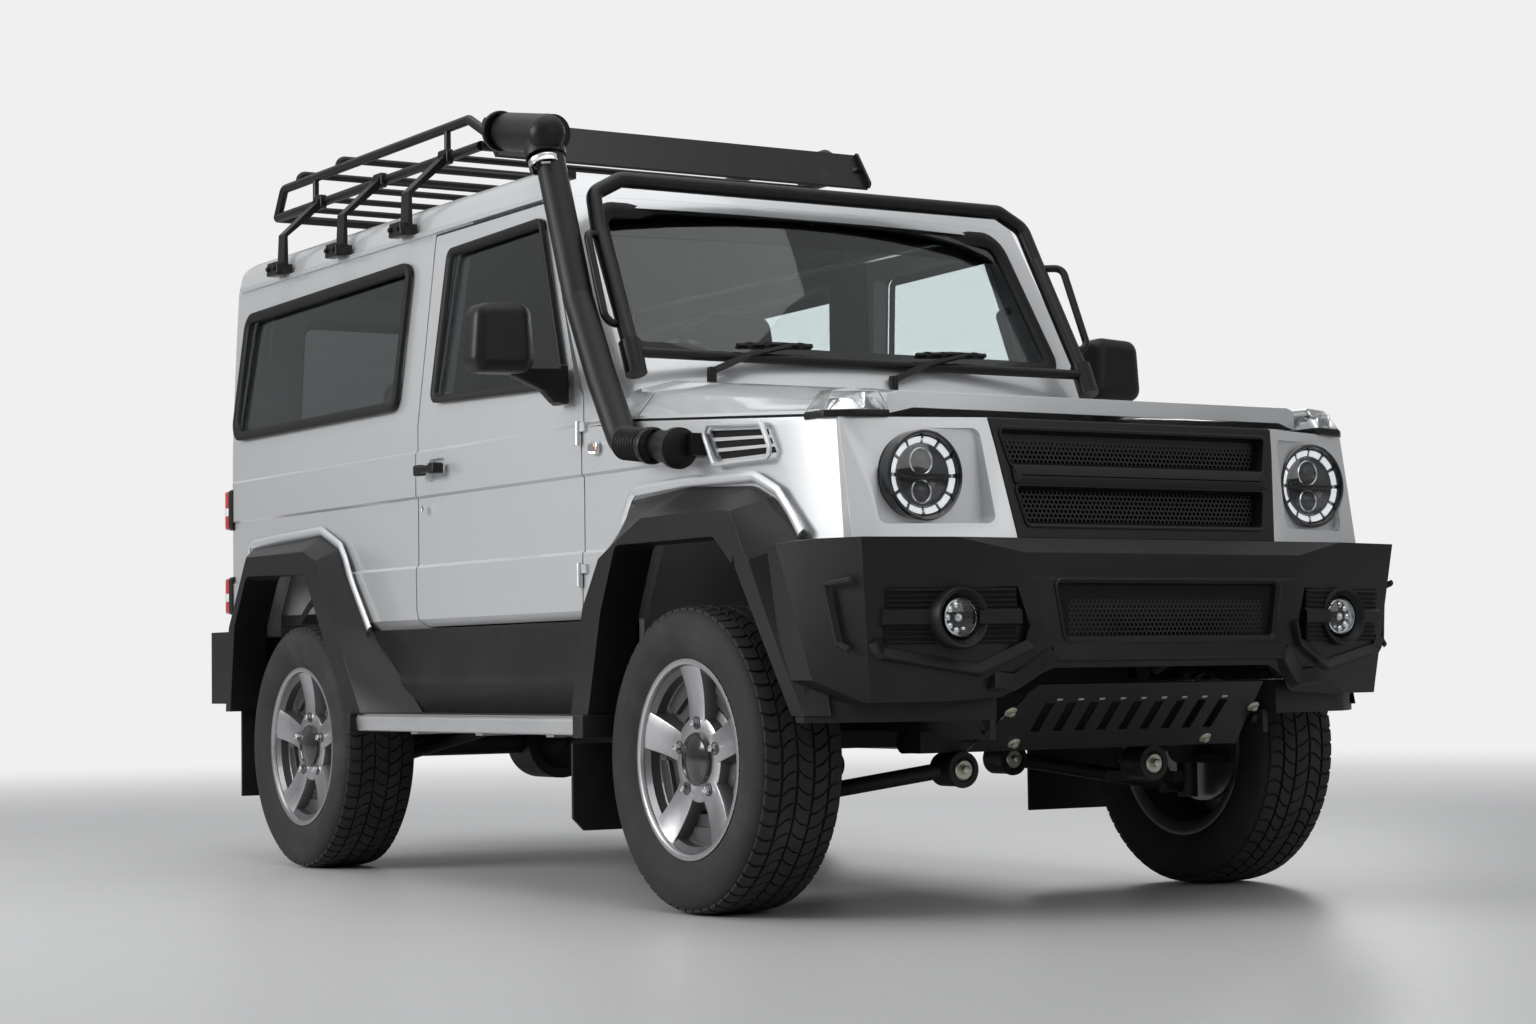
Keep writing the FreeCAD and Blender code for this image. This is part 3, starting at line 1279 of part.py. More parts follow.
def make_mirror(side):
    y = station(v.door_front)
    x = v.half_width
    arm = box((x - 10, x + 150), (y + 52, y + 84), (1334, 1362))
    foot = box((x - 14, x + 12), (y + 46, y + 116), (1318, 1364))
    head = prism("y", [(x + 101, 1394, 30), (x + 290, 1391, 42), (x + 276, 1576, 48), (x + 115, 1584, 34)],
                 y + 6, y + 90)
    neck = box((x + 118, x + 150), (y + 52, y + 84), (1340, 1420))
    handle = box((x - 6, x + 28), (station(v.door_rear - 210), station(v.door_rear - 70)), (1186, 1208))
    solid = arm.fuse([head, neck, foot]).cut(make_door(1))
    grip = handle.cut(make_door(1))
    pieces = [max(solid.Solids, key=lambda s: s.Volume), max(grip.Solids, key=lambda s: s.Volume)]
    shape = Part.makeCompound(pieces)
    return shape if side > 0 else mirrored(shape)


def make_mudflaps():
    x = v.half_width
    flap = [(x - 300, 545), (x - 40, 545), (x - 40, v.step_z - 71), (x + 135, v.step_z - 71), (x + 135, 222),
            (x + 103, 190), (x - 300, 190)]
    front = prism("y", flap, station(470), station(480))
    rear = box((x - 215, x + 65), (rear_axle + 505, rear_axle + 515), (210, 488))
    return Part.makeCompound([front, mirrored(front), rear, mirrored(rear)])


def make_rear_bumper():
    edge, back = v.half_width + 50, tail + 85
    plan = [(-edge, rear_axle + 640), (edge, rear_axle + 640), (edge, back - 60, 40), (edge - 60, back, 60),
            (60 - edge, back, 60), (-edge, back - 60, 40)]
    inner = [(60 - edge, rear_axle + 600), (edge - 60, rear_axle + 600), (edge - 60, tail + 6),
             (60 - edge, tail + 6)]
    return prism("z", plan, 512, 752).cut(prism("z", inner, 500, 760)).cut(outer_cabin)


def make_tail_lamps():
    x = v.half_width
    column = box((x - 92, x + 6), (tail - 60, tail + 26), (1095, 1238))
    lower = box((x - 92, x + 6), (tail - 60, tail + 26), (809, 942))
    lamps = [q.cut(outer_cabin) for q in (column, lower)]
    return both(Part.makeCompound(lamps))


def make_spare_carrier():
    y = tail
    z = v.spare_z
    plate = box((-150, 150), (y, y + 12), (z - 150, z + 150))
    seat_y = y + v.spare_reach - v.tyre_width / 2 + v.rim_depth / 2 - 74
    hub = rod((0, y + 10, z), (0, seat_y, z), 60)
    return plate.fuse(hub)


# ---------------------------------------------------------------- assembly

keep("chassis_frame", make_chassis())
keep("floor_pan", make_floor())
keep("roof_panel", make_roof())
keep("cowl_panel", make_cowl())
keep("side_panels", make_side_panels())
keep("front_fenders", make_fenders())
keep("bonnet", make_bonnet())
keep("door_right", make_door(-1))
keep("door_left", make_door(1))
keep("door_glass_right", mirrored(side_glass(door_window)))
keep("door_glass_left", side_glass(door_window))
keep("mirror_right", make_mirror(-1))
keep("mirror_left", make_mirror(1))
keep("fixed_glass", Part.makeCompound([make_windscreen(), both(side_glass(quarter_window))]))
keep("tailgate", make_tailgate())
keep("tailgate_glass", make_tailgate_glass())
keep("spare_carrier", make_spare_carrier())
keep("fender_flares", make_flares())
keep("sill_cladding", make_sills())
keep("side_steps", make_steps())
fog_lamps = keep("fog_lamps", make_fog_lamps())
keep("front_bumper", make_bumper())
keep("headlamp_surrounds", make_surrounds())
keep("grille", make_grille())
keep("headlamps", make_headlamps())
keep("headlamp_lenses", make_headlamp_lenses())
keep("corner_lamps", make_corner_lamps())
keep("bash_plate", make_bash_plate())
keep("roof_rack", make_roof_rack())
keep("rack_hoops", make_rack_hoops())
keep("snorkel", make_snorkel())
keep("screen_guard", make_screen_guard())
keep("wipers", make_wipers())
keep("mudflaps", make_mudflaps())
keep("rear_bumper", make_rear_bumper())
keep("tail_lamps", make_tail_lamps())
keep("dashboard", make_dashboard())
keep("steering_wheel", make_steering_wheel())
keep("seats", make_seats())
keep("engine_block", make_engine())
keep("drivetrain", make_drivetrain())
keep("exhaust", make_exhaust())
keep("front_suspension", make_front_suspension())
keep("knuckle_right", make_knuckle(-1))
keep("knuckle_left", make_knuckle(1))
keep("rear_axle", make_rear_axle())
make_wheels()
doc.recompute()

for item in doc.Objects:
    if "Invalid" in item.State or "Error" in item.State:
        raise RuntimeError(f"{item.Label} failed: {item.State}")
for item in nodes:
    if item.Shape.isNull() or not item.Shape.isValid():
        raise RuntimeError(f"{item.Label} has no valid shape")
os.makedirs("parts", exist_ok=True)
for item in nodes:
    item.Shape.exportStep(f"parts/{item.Label}.step")
    print(item.Label, len(item.Shape.Solids), round(item.Shape.Volume / 1e6, 2))
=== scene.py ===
import math
import bmesh
import bpy
import numpy as np
from mathutils import Matrix, Vector


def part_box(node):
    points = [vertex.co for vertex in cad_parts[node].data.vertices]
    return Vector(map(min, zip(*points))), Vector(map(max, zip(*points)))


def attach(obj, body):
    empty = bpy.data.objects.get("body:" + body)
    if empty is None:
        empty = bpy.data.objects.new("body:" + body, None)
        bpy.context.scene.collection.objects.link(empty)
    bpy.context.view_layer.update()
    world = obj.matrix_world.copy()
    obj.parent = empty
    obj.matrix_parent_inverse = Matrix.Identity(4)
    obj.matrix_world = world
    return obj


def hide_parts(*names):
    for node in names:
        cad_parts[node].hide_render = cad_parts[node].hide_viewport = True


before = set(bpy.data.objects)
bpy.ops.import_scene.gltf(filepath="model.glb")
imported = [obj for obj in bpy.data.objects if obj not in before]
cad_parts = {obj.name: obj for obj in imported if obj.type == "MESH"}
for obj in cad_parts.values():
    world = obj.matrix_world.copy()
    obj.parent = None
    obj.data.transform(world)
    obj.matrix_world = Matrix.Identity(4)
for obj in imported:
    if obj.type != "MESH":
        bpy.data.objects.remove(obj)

for name in ("Cube", "Light", "Camera"):
    if name in bpy.data.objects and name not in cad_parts:
        bpy.data.objects.remove(bpy.data.objects[name])
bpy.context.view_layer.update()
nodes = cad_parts


def middle(name):
    low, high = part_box(name)
    return (low + high) / 2


# places that the pieces are worked out from, in metres; the front is -y
frontAxle = middle("tyre_front_right").y
halfWidth = -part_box("front_fenders")[0].x
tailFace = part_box("side_panels")[1].y
wheelbase = 2.400
gutterIn = 0.047
forwards, upwards, sideways = (0, -1, 0), (0, 0, 1), (1, 0, 0)
# the two axes of an outline and the axis of its height, for plates on the side, the tail and the nose
sideAxes = ((0, 1, 0), (0, 0, 1), (1, 0, 0))
tailAxes = ((1, 0, 0), (0, 0, 1), (0, 1, 0))
noseAxes = ((1, 0, 0), (0, 0, 1), (0, -1, 0))


def station(distance):
    # y of a place measured back from the front axle
    return frontAxle + distance


def mm(*numbers):
    # rows of two numbers, written in millimetres
    return np.array(numbers, float).reshape(-1, 2) / 1000


def behind(*numbers):
    # rows (y, z), written in millimetres behind the front axle and above the ground
    return mm(*numbers) + (frontAxle, 0)


print("frame loaded:", len(nodes), "nodes")


# surfaces worked out as whole arrays

def gridFaces(rows, columns, wrapRows=False, wrapColumns=False):
    # quads of a rows x columns grid of points
    r = np.arange(rows if wrapRows else rows - 1)[:, None]
    c = np.arange(columns if wrapColumns else columns - 1)[None, :]
    r2, c2 = (r + 1) % rows, (c + 1) % columns
    quads = [r * columns + c, r2 * columns + c, r2 * columns + c2, r * columns + c2]
    return np.stack(np.broadcast_arrays(*quads), -1).reshape(-1, 4).tolist()


def unit(vectors):
    return vectors / np.maximum(np.linalg.norm(vectors, axis=-1, keepdims=True), 1e-12)


def outwards(points, faces):
    # turns every face round if the signed volume, the sum of a.(b x c)/6 over the fans, is negative
    fans = [(f[0], f[i], f[i + 1]) for f in faces for i in range(1, len(f) - 1)]
    a, b, c = (points[np.array(fans)[:, i]] for i in range(3))
    if np.einsum("ij,ij->i", a, np.cross(b, c)).sum() < 0:
        faces = [f[::-1] for f in faces]
    return points, faces


def rounded(corners, radius, steps=4):
    # polygon with each corner replaced by an arc tangent to its two sides
    p = np.array(corners, float)
    r = np.broadcast_to(np.asarray(radius, float), (len(p),))
    back, ahead = unit(np.roll(p, 1, 0) - p), unit(np.roll(p, -1, 0) - p)
    half = np.arccos(np.clip((back * ahead).sum(1), -1, 1)) / 2
    centre = p + unit(back + ahead) * (r / np.sin(half))[:, None]
    start, end = p + back * (r / np.tan(half))[:, None], p + ahead * (r / np.tan(half))[:, None]
    t = np.linspace(0, 1, steps + 1)[None, :, None]
    chord = start[:, None] * (1 - t) + end[:, None] * t - centre[:, None]
    return (centre[:, None] + unit(chord) * r[:, None, None]).reshape(-1, p.shape[1])


def rect(x0, y0, x1, y1, radius, steps=3):
    return rounded([(x0, y0), (x1, y0), (x1, y1), (x0, y1)], radius, steps)


def ringPath(count, radius=1.0, phase=0.0):
    a = np.arange(count) / count * 2 * np.pi + phase
    return np.stack([np.cos(a), np.sin(a)], 1) * radius


def insetLoop(outline, distance):
    # closed outline (n,2) moved by distance along its own outward normals
    p = np.asarray(outline, float)
    ahead, back = unit(np.roll(p, -1, 0) - p), unit(p - np.roll(p, 1, 0))
    normal = unit(np.stack([(ahead + back)[:, 1], -(ahead + back)[:, 0]], 1))
    area = (p[:, 0] * np.roll(p[:, 1], -1) - p[:, 1] * np.roll(p[:, 0], -1)).sum()
    return p + normal * np.sign(area) * distance


def capped(loops):
    # form from a stack of equal loops, flat at both ends
    points = np.stack(loops)
    rows, count = points.shape[:2]
    last = (rows - 1) * count
    faces = gridFaces(rows, count, False, True) + [list(range(count))[::-1], list(range(last, last + count))]
    return outwards(points.reshape(-1, 3), faces)


def carry(profile, path, up=upwards):
    # profile (m,2) carried along path (n,3): path + side * px + lift * py
    profile, path = np.asarray(profile, float), np.asarray(path, float)
    step = np.roll(path, -1, 0) - np.roll(path, 1, 0)
    step[0], step[-1] = path[1] - path[0], path[-1] - path[-2]
    along = unit(step)
    side = unit(np.cross(along, np.asarray(up, float)))
    lift = np.cross(side, along)
    return capped(path[:, None] + side[:, None] * profile[None, :, :1] + lift[:, None] * profile[None, :, 1:])


def basis(axis):
    axis = unit(np.asarray(axis, float))
    other = np.array([0, 0, 1.0]) if abs(axis[2]) < 0.9 else np.array([1.0, 0, 0])
    first = unit(np.cross(other, axis))
    return first, np.cross(axis, first), axis


def lathe(profile, centre, axis, turns=48):
    # profile rows (radius, along) turned about the axis; one that touches the axis isn't closed on itself
    profile = np.asarray(profile, float)
    first, second, third = basis(axis)
    spin = ringPath(turns)
    radial = spin[:, :1] * first + spin[:, 1:] * second
    points = np.asarray(centre, float) + radial[:, None] * profile[None, :, :1] + third * profile[None, :, 1:]
    return outwards(points.reshape(-1, 3), gridFaces(turns, len(profile), True, profile[:, 0].min() > 0))


def slab(outline, low, high, edge=0.002, steps=3, axes=np.eye(3), origin=(0, 0, 0)):
    # plate over an outline (n,2); its rims are quarter rounds: inset r(1 - sin a), height r(1 - cos a)
    a = np.linspace(0, np.pi / 2, steps + 1)
    inset, rise = edge * (1 - np.sin(a)), edge * (1 - np.cos(a))
    level = np.concatenate([low + rise, (high - rise)[::-1]])
    flat = np.stack([insetLoop(outline, -d) for d in (*inset, *inset[::-1])])
    x, y, z = np.asarray(axes, float)
    return capped(np.asarray(origin, float) + flat[..., :1] * x + flat[..., 1:] * y
                  + level[:, None, None] * z)


def brick(low, high, edge=0.003, corner=0.006):
    # block with rounded upright corners and rims
    return slab(rect(low[0], low[1], high[0], high[1], corner), low[2], high[2], edge)


def rod(start, end, radius, turns=24, edge=0.0015):
    # round bar with its rims broken
    start, end = np.asarray(start, float), np.asarray(end, float)
    length = np.linalg.norm(end - start)
    profile = [(0, 0), (radius - edge, 0), (radius, edge), (radius, length - edge), (radius - edge, length),
               (0, length)]
    return lathe(profile, start, end - start, turns)


def bentTube(corners, radius, bend, turns=16, steps=7):
    # round tube along straight runs whose inner corners are arcs of radius bend
    p = np.array(corners, float)
    arcs = rounded(p, bend, steps)[steps + 1:-steps - 1]
    return carry(ringPath(turns, radius), np.concatenate([p[:1], arcs, p[-1:]]))


def hexBolt(centre, axis, across, height):
    # washer and hexagon head
    r = across / 2 / math.cos(math.pi / 6)
    washer = lathe([(0, 0), (across * 0.72, 0), (across * 0.72, 0.002), (0, 0.002)], centre, axis, 18)
    head = lathe([(0, 0.002), (r, 0.002), (r, height - 0.001), (r * 0.86, height), (0, height)], centre, axis,
                 6)
    return [washer, head]


def ball(centre, radius, turns=24, rings=12, squash=1.0, axis=upwards):
    # sphere, squashed along its axis
    a = np.linspace(-np.pi / 2, np.pi / 2, rings + 1)
    profile = np.stack([np.cos(a) * radius, np.sin(a) * radius * squash], 1)
    profile[[0, -1], 0] = 0
    return lathe(profile, centre, axis, turns)


def flipX(part):
    points, faces = part
    return points * np.array([-1, 1, 1]), [f[::-1] for f in faces]


def pair(part):
    return [part, flipX(part)]


def band(outline, profile, place):
    # frame round an outline: each profile row (outwards, height) is a loop; place maps them to 3-D
    points = np.stack([place(insetLoop(outline, out), height) for out, height in profile], 1)
    return outwards(points.reshape(-1, 3), gridFaces(*points.shape[:2], True, True))


def ridge(corners, rows, place, steps=5):
    # moulding along (n,2) corners; each row (across, height) of its section is carried by place
    path = np.array(corners, float)
    t = np.linspace(0, 1, steps + 1)[:-1, None]
    dense = np.concatenate([a + (b - a) * t for a, b in zip(path, path[1:])] + [path[-1:]])
    ahead = unit(np.gradient(dense, axis=0))
    normal = np.stack([-ahead[:, 1], ahead[:, 0]], 1)
    return capped(np.stack([place(dense + normal * a, b) for a, b in rows], 1))


def coil(start, end, radius, wire, turns):
    # spring: a helix between two points with flat ends
    start, end = np.asarray(start, float), np.asarray(end, float)
    first, second, third = basis(end - start)
    a = np.linspace(0, 2 * np.pi * turns, int(turns * 20) + 1)[:, None]
    rise = np.interp(a, [0, 4, a[-1, 0] - 4, a[-1, 0]], [0, 0.06, 0.94, 1]) * np.linalg.norm(end - start)
    path = start + np.cos(a) * first * radius + np.sin(a) * second * radius + rise * third
    return carry(ringPath(8, wire), path, third)


def pillow(centre, half, power=0.42, rows=20, turns=36, tilt=0.0, crown=0.0, seams=(), depth=0.006):
    # cushion form: |x/a|^(2/e) + |y/b|^(2/e) + |z/c|^(2/e) = 1, crowned by crown, with sewn channels across x
    u = np.linspace(-np.pi / 2, np.pi / 2, rows + 1)[:, None]
    w = np.linspace(0, 2 * np.pi, turns, endpoint=False)[None]
    bend = lambda q: np.sign(q) * np.abs(q) ** power
    x, y, z = bend(np.cos(u)) * bend(np.cos(w)), bend(np.cos(u)) * bend(np.sin(w)), bend(np.sin(u)) + 0 * w
    swell = 1 + crown * (1 - x ** 2) * (1 - y ** 2)
    x, y, z = x * half[0], y * half[1], z * half[2] * swell
    for seam in seams:
        z = z - np.sign(z) * depth * np.exp(-((x - seam) / 0.010) ** 2)
    c, d = math.cos(tilt), math.sin(tilt)
    points = np.stack([x, y * c - z * d, y * d + z * c], -1) + np.asarray(centre, float)
    return outwards(points.reshape(-1, 3), gridFaces(rows + 1, turns, False, True))


def hexMesh(outline, pitch, depth, thick, place):
    # hexagon cells whose centres lie in the outline: each a ring between radii R and R - thick
    a = np.asarray(outline, float)
    b, low, high = np.roll(a, -1, 0), a.min(0), a.max(0)
    row = np.arange(low[0], high[0] + pitch, pitch)
    spots = np.concatenate([np.stack([row + (i % 2) * pitch / 2, np.full(len(row), z)], 1)
                            for i, z in enumerate(np.arange(low[1], high[1] + pitch, pitch * 0.866))])
    # a centre is inside if a ray from it crosses the outline an odd number of times
    rise = (b[:, 1] - a[:, 1])[None] + 1e-12
    cross = (a[None, :, 1] > spots[:, None, 1]) != (b[None, :, 1] > spots[:, None, 1])
    meet = a[None, :, 0] + (spots[:, None, 1] - a[None, :, 1]) * (b[:, 0] - a[:, 0])[None] / rise
    spots = spots[((cross & (spots[:, None, 0] < meet)).sum(1) % 2) == 1]
    spin, radius = ringPath(6, 1, np.pi / 6), pitch / math.sqrt(3)
    outer, inner = spin * radius, spin * (radius - thick)
    points = np.stack([place((spots[:, None] + ring[None]).reshape(-1, 2), level).reshape(-1, 6, 3)
                       for ring, level in ((outer, 0), (inner, 0), (inner, -depth), (outer, -depth))], 2)
    cell = outwards(points[0].reshape(-1, 3), gridFaces(6, 4, True, True))[1]
    faces = (np.arange(len(spots))[:, None, None] * 24 + np.array(cell)[None]).reshape(-1, 4).tolist()
    return points.reshape(-1, 3), faces


# places on the car that bands and ridges are laid on

wallShape = {"waist": 1.335, "gutter": 1.908, "low": halfWidth - 0.008, "high": halfWidth - gutterIn}


def outFrom(x, flat, height):
    # (y, z) points at x, height out of it
    return np.stack([x + height + 0 * flat[:, 0], flat[:, 0], flat[:, 1]], -1)


def sideWall(flat, height):
    # leaning side of the cabin: x falls in a straight line above the waist
    lean = np.clip((flat[:, 1] - wallShape["waist"]) / (wallShape["gutter"] - wallShape["waist"]), 0, 1.2)
    return outFrom(wallShape["low"] + (wallShape["high"] - wallShape["low"]) * lean, flat, height)


def sidePlane(flat, height):
    # flank: above z = 0.96 the panels lie 8 mm further in
    return outFrom(halfWidth - 0.008 * np.clip((flat[:, 1] - 0.90) / 0.06, 0, 1), flat, height)


def frontGlass(flat, height):
    # (x, z) on the bowed, leaning windscreen: y = base + lean * rise - bow * (1 - (x / half)^2)
    x, z = flat[:, 0], flat[:, 1]
    bow = 0.076 * (1 - (x / (halfWidth + 0.01)) ** 2)
    y = station(0.545) + 0.014 + (z - 1.415) * 0.6 - bow
    return np.stack([x, y - height * 0.857, z + height * 0.514], -1)


# pieces

def newObject(name, data):
    made = bpy.data.objects.new(name, data)
    bpy.context.scene.collection.objects.link(made)
    return made


def shade(mesh, marks, crease):
    mesh.polygons.foreach_set("material_index", marks)
    mesh.polygons.foreach_set("use_smooth", [True] * len(marks))
    mesh.update()
    mesh.set_sharp_from_angle(angle=math.radians(crease))


def declare(piece, body, replaced):
    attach(piece, body)
    if replaced:
        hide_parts(*replaced)
    return piece


def addPiece(name, groups, finish, body="body", replaced=(), crease=38, both=False):
    # one mesh from (points, faces) parts; a list of finishes goes with a list of groups of parts, one for
    # each finish, and both adds each part's mirror image
    if not isinstance(finish, list):
        groups, finish = [groups], [finish]
    points, faces, marks, start = [], [], [], 0
    for mark, group in enumerate(groups):
        for part in group:
            for p, f in pair(part) if both else [part]:
                points.append(p)
                faces += [[k + start for k in face] for face in f]
                marks += [mark] * len(f)
                start += len(p)
    mesh = bpy.data.meshes.new(name)
    mesh.from_pydata(np.concatenate(points).tolist(), [], faces)
    for one in finish:
        mesh.materials.append(one)
    shade(mesh, marks, crease)
    return declare(newObject(name, mesh), body, replaced)


def softCopy(name, finish, body, width, angle=28):
    # merged copy of a frame node: faces in one plane joined, every real edge rounded by width
    form = bmesh.new()
    form.from_mesh(nodes[name].data)
    bmesh.ops.remove_doubles(form, verts=form.verts, dist=0.00001)
    bmesh.ops.dissolve_limit(form, angle_limit=math.radians(0.6), verts=form.verts, edges=form.edges)
    mesh = bpy.data.meshes.new(name + "Soft")
    form.to_mesh(mesh)
    form.free()
    normals = mesh.attributes.get("custom_normal")
    if normals:
        mesh.attributes.remove(normals)
    mesh.materials.clear()
    mesh.materials.append(finish)
    shade(mesh, [0] * len(mesh.polygons), angle)
    piece = newObject(name + "Soft", mesh)
    bevel = piece.modifiers.new("softEdge", "BEVEL")
    bevel.width, bevel.segments, bevel.limit_method = width, 2, "ANGLE"
    bevel.angle_limit, bevel.harden_normals = math.radians(angle), True
    declare(piece, body, [name])


# finishes

def addNode(tree, kind, settings=None, values=None):
    # adds a node, sets it up, and links or sets its sockets
    made = tree.nodes.new("ShaderNode" + kind)
    for key, value in (settings or {}).items():
        setattr(made, key, value)
    for key, value in (values or {}).items():
        give(tree, made.inputs[key], value)
    return made


def give(tree, socket, value):
    if isinstance(value, bpy.types.NodeSocket):
        tree.links.new(value, socket)
    else:
        socket.default_value = value


def scaled(colour, share):
    return tuple(c * share for c in colour)


def lifted(colour, amount):
    return tuple(c + amount for c in colour)


class Wire:
    # a node socket that takes part in sums and products
    def __init__(self, finish, socket):
        self.finish, self.socket = finish, socket

    def join(self, operation, *others):
        return self.finish.node("Math", {"operation": operation}, dict(enumerate((self,) + others)))

    def __add__(self, other):
        return self.join("ADD", other)

    def __mul__(self, other):
        return self.join("MULTIPLY", other)

    def __rsub__(self, other):
        return self.finish.node("Math", {"operation": "SUBTRACT"}, {0: other, 1: self})


def bare(value):
    return value.socket if isinstance(value, Wire) else value


class Finish:
    # a material in the making; node() adds any node and feed() fills the shader's sockets
    def __init__(self, name, sockets):
        self.material = bpy.data.materials.new(name)
        self.material.use_nodes = True
        self.tree = self.material.node_tree
        self.shader = self.tree.nodes["Principled BSDF"]
        self.place = self.node("TexCoord", out="Object")
        self.feed(sockets)

    def node(self, kind, settings=None, values=None, out=0):
        values = {key: bare(value) for key, value in (values or {}).items()}
        return Wire(self, addNode(self.tree, kind, settings, values).outputs[out])

    def feed(self, sockets):
        for key, value in sockets.items():
            if isinstance(value, tuple) and len(value) == 3:
                value = (*value, 1)
            give(self.tree, self.shader.inputs[key], bare(value))
        return self.material

    def blend(self, share, other):
        # mixes another shader in before the surface
        both = self.node("MixShader", None, {0: share, 1: self.shader.outputs[0], 2: other})
        output = next(n for n in self.tree.nodes if n.type == "OUTPUT_MATERIAL")
        self.tree.links.new(both.socket, output.inputs["Surface"])
        return self.material

    def noise(self, scale, detail=2.0, rough=0.5, place=None):
        values = {"Vector": place or self.place, "Scale": scale, "Detail": detail, "Roughness": rough}
        return self.node("TexNoise", None, values)

    def cells(self, scale, out="Distance"):
        return self.node("TexVoronoi", None, {"Vector": self.place, "Scale": scale}, out)

    def axis(self, name, place=None):
        return self.node("SeparateXYZ", None, {0: place or self.place}, name)

    def between(self, value, low, high, toLow=0.0, toHigh=1.0):
        values = {"Value": value, "From Min": low, "From Max": high, "To Min": toLow, "To Max": toHigh}
        return self.node("MapRange", {"interpolation_type": "SMOOTHSTEP"}, values)

    def mix(self, factor, first, second):
        first, second = (c if isinstance(c, Wire) else (*c, 1) for c in (first, second))
        return self.node("Mix", {"data_type": "RGBA"}, {0: factor, 6: first, 7: second}, 2)

    def bump(self, height, strength, distance):
        return self.node("Bump", None, {"Height": height, "Strength": strength, "Distance": distance})

    def dust(self, top, bottom, amount):
        # road dust: thickest near the ground, broken up by two sizes of noise
        rise = self.between(self.axis("Z"), top, bottom)
        return rise * self.between(self.noise(3.1, 5, 0.62), 0.3, 0.75) * amount


silverLook = {"base": (0.69, 0.70, 0.71), "shade": (0.60, 0.61, 0.625), "flakes": 2600, "film": 1.7}


def silverPaint():
    f = Finish("silverPaint", {"Metallic": 0.62, "Coat Weight": 1.0, "Coat Roughness": 0.035,
                               "Coat IOR": 1.5})
    flake = f.node("SeparateColor", None, {0: f.cells(silverLook["flakes"], "Color")}, 0)
    film = f.noise(silverLook["film"], 3)
    dust = f.dust(0.95, 0.45, 0.32)
    colour = f.mix(flake * 0.5 + film * 0.25, silverLook["base"], silverLook["shade"])
    return f.feed({
        "Base Color": f.mix(dust, colour, (0.42, 0.40, 0.37)),
        "Roughness": flake * 0.10 + film * 0.06 + dust * 0.4 + 0.30,
        "Normal": f.bump(flake, 0.035, 0.001),
    })


def grainedPlastic(name, base, rough, grain, strength, worn, dusty):
    f = Finish(name, {"Metallic": 0.0, "Specular IOR Level": 0.3})
    grit = f.cells(grain) * 0.7 + f.noise(grain * 0.6, 3) * 0.6
    patch = f.noise(4.2, 4, 0.6)
    dust = f.dust(1.1, 0.3, dusty)
    colour = f.mix(f.between(patch, 0.45, 0.85, 0, 0.5), base, lifted(base, worn))
    return f.feed({
        "Base Color": f.mix(dust, colour, (0.20, 0.185, 0.165)),
        "Roughness": patch * 0.12 + dust * 0.3 + grit * 0.05 + (rough - 0.08),
        "Normal": f.bump(grit, strength, 0.0006),
    })


def coatedTube(name, base, rough):
    # powder coat: fine orange peel, polished and scuffed in patches
    f = Finish(name, {"Metallic": 0.0, "Coat Roughness": 0.25, "Specular IOR Level": 0.24})
    peel = f.noise(420, 2)
    scuff = f.between(f.noise(9, 6, 0.7), 0.55, 0.8)
    return f.feed({
        "Base Color": f.mix(scuff * 0.5, base, lifted(base, 0.03)),
        "Roughness": peel * 0.1 + scuff * 0.15 + (rough - 0.05),
        "Coat Weight": 0.12,
        "Normal": f.bump(peel, 0.18, 0.0008),
    })


def tyreRubber():
    f = Finish("tyreRubber", {"Metallic": 0.0, "Specular IOR Level": 0.35})
    fine, patch = f.noise(700, 3), f.noise(7, 5, 0.65)
    dust = f.between(patch, 0.42, 0.8) * 0.35 + f.between(fine, 0.5, 0.8) * 0.1
    return f.feed({
        "Base Color": f.mix(dust, (0.017, 0.017, 0.018), (0.075, 0.072, 0.068)),
        "Roughness": fine * 0.12 + patch * 0.16 + 0.62,
        "Normal": f.bump(fine, 0.25, 0.0006),
    })


def machinedAlloy(name, base, rough):
    # turned face: rings about the wheel's axle, from the piece's own "turned" attribute in metres
    f = Finish(name, {"Metallic": 1.0})
    radius = f.node("Attribute", {"attribute_name": "turned"}, out="Fac")
    ring = (radius * 9000).join("SINE") * 0.5 + 0.5
    blotch = f.noise(26, 4, 0.6)
    return f.feed({
        "Base Color": f.mix(blotch * 0.45, base, scaled(base, 0.74)),
        "Roughness": ring * 0.07 + blotch * 0.12 + rough,
        "Normal": f.bump(ring, 0.12, 0.0003),
    })


def brushedMetal(name, base, rough, direction, dusty=0.25):
    f = Finish(name, {"Metallic": 1.0})
    hair = f.noise(1.0, 3, 0.6, f.node("Mapping", None, {"Vector": f.place, "Scale": direction}))
    patch = f.noise(11, 4, 0.6)
    dust = f.dust(0.9, 0.2, dusty)
    return f.feed({
        "Base Color": f.mix(dust, f.mix(patch * 0.5, base, scaled(base, 0.7)), (0.25, 0.23, 0.2)),
        "Metallic": 1 - dust,
        "Roughness": hair * 0.16 + patch * 0.1 + dust * 0.3 + rough,
        "Normal": f.bump(hair, 0.15, 0.0004),
    })


def castMetal(name, base, rough, metallic, rust):
    # sand-cast or welded underbody steel with specks of rust
    f = Finish(name, {})
    pits, patch = f.noise(160, 5, 0.7), f.noise(12, 5, 0.6)
    red = f.between(patch, 0.55, 0.8) * rust
    return f.feed({
        "Base Color": f.mix(red, f.mix(pits, base, scaled(base, 0.6)), (0.11, 0.055, 0.03)),
        "Metallic": metallic - red * metallic,
        "Roughness": pits * 0.2 + red * 0.25 + (rough - 0.1),
        "Normal": f.bump(pits, 0.45, 0.002),
    })


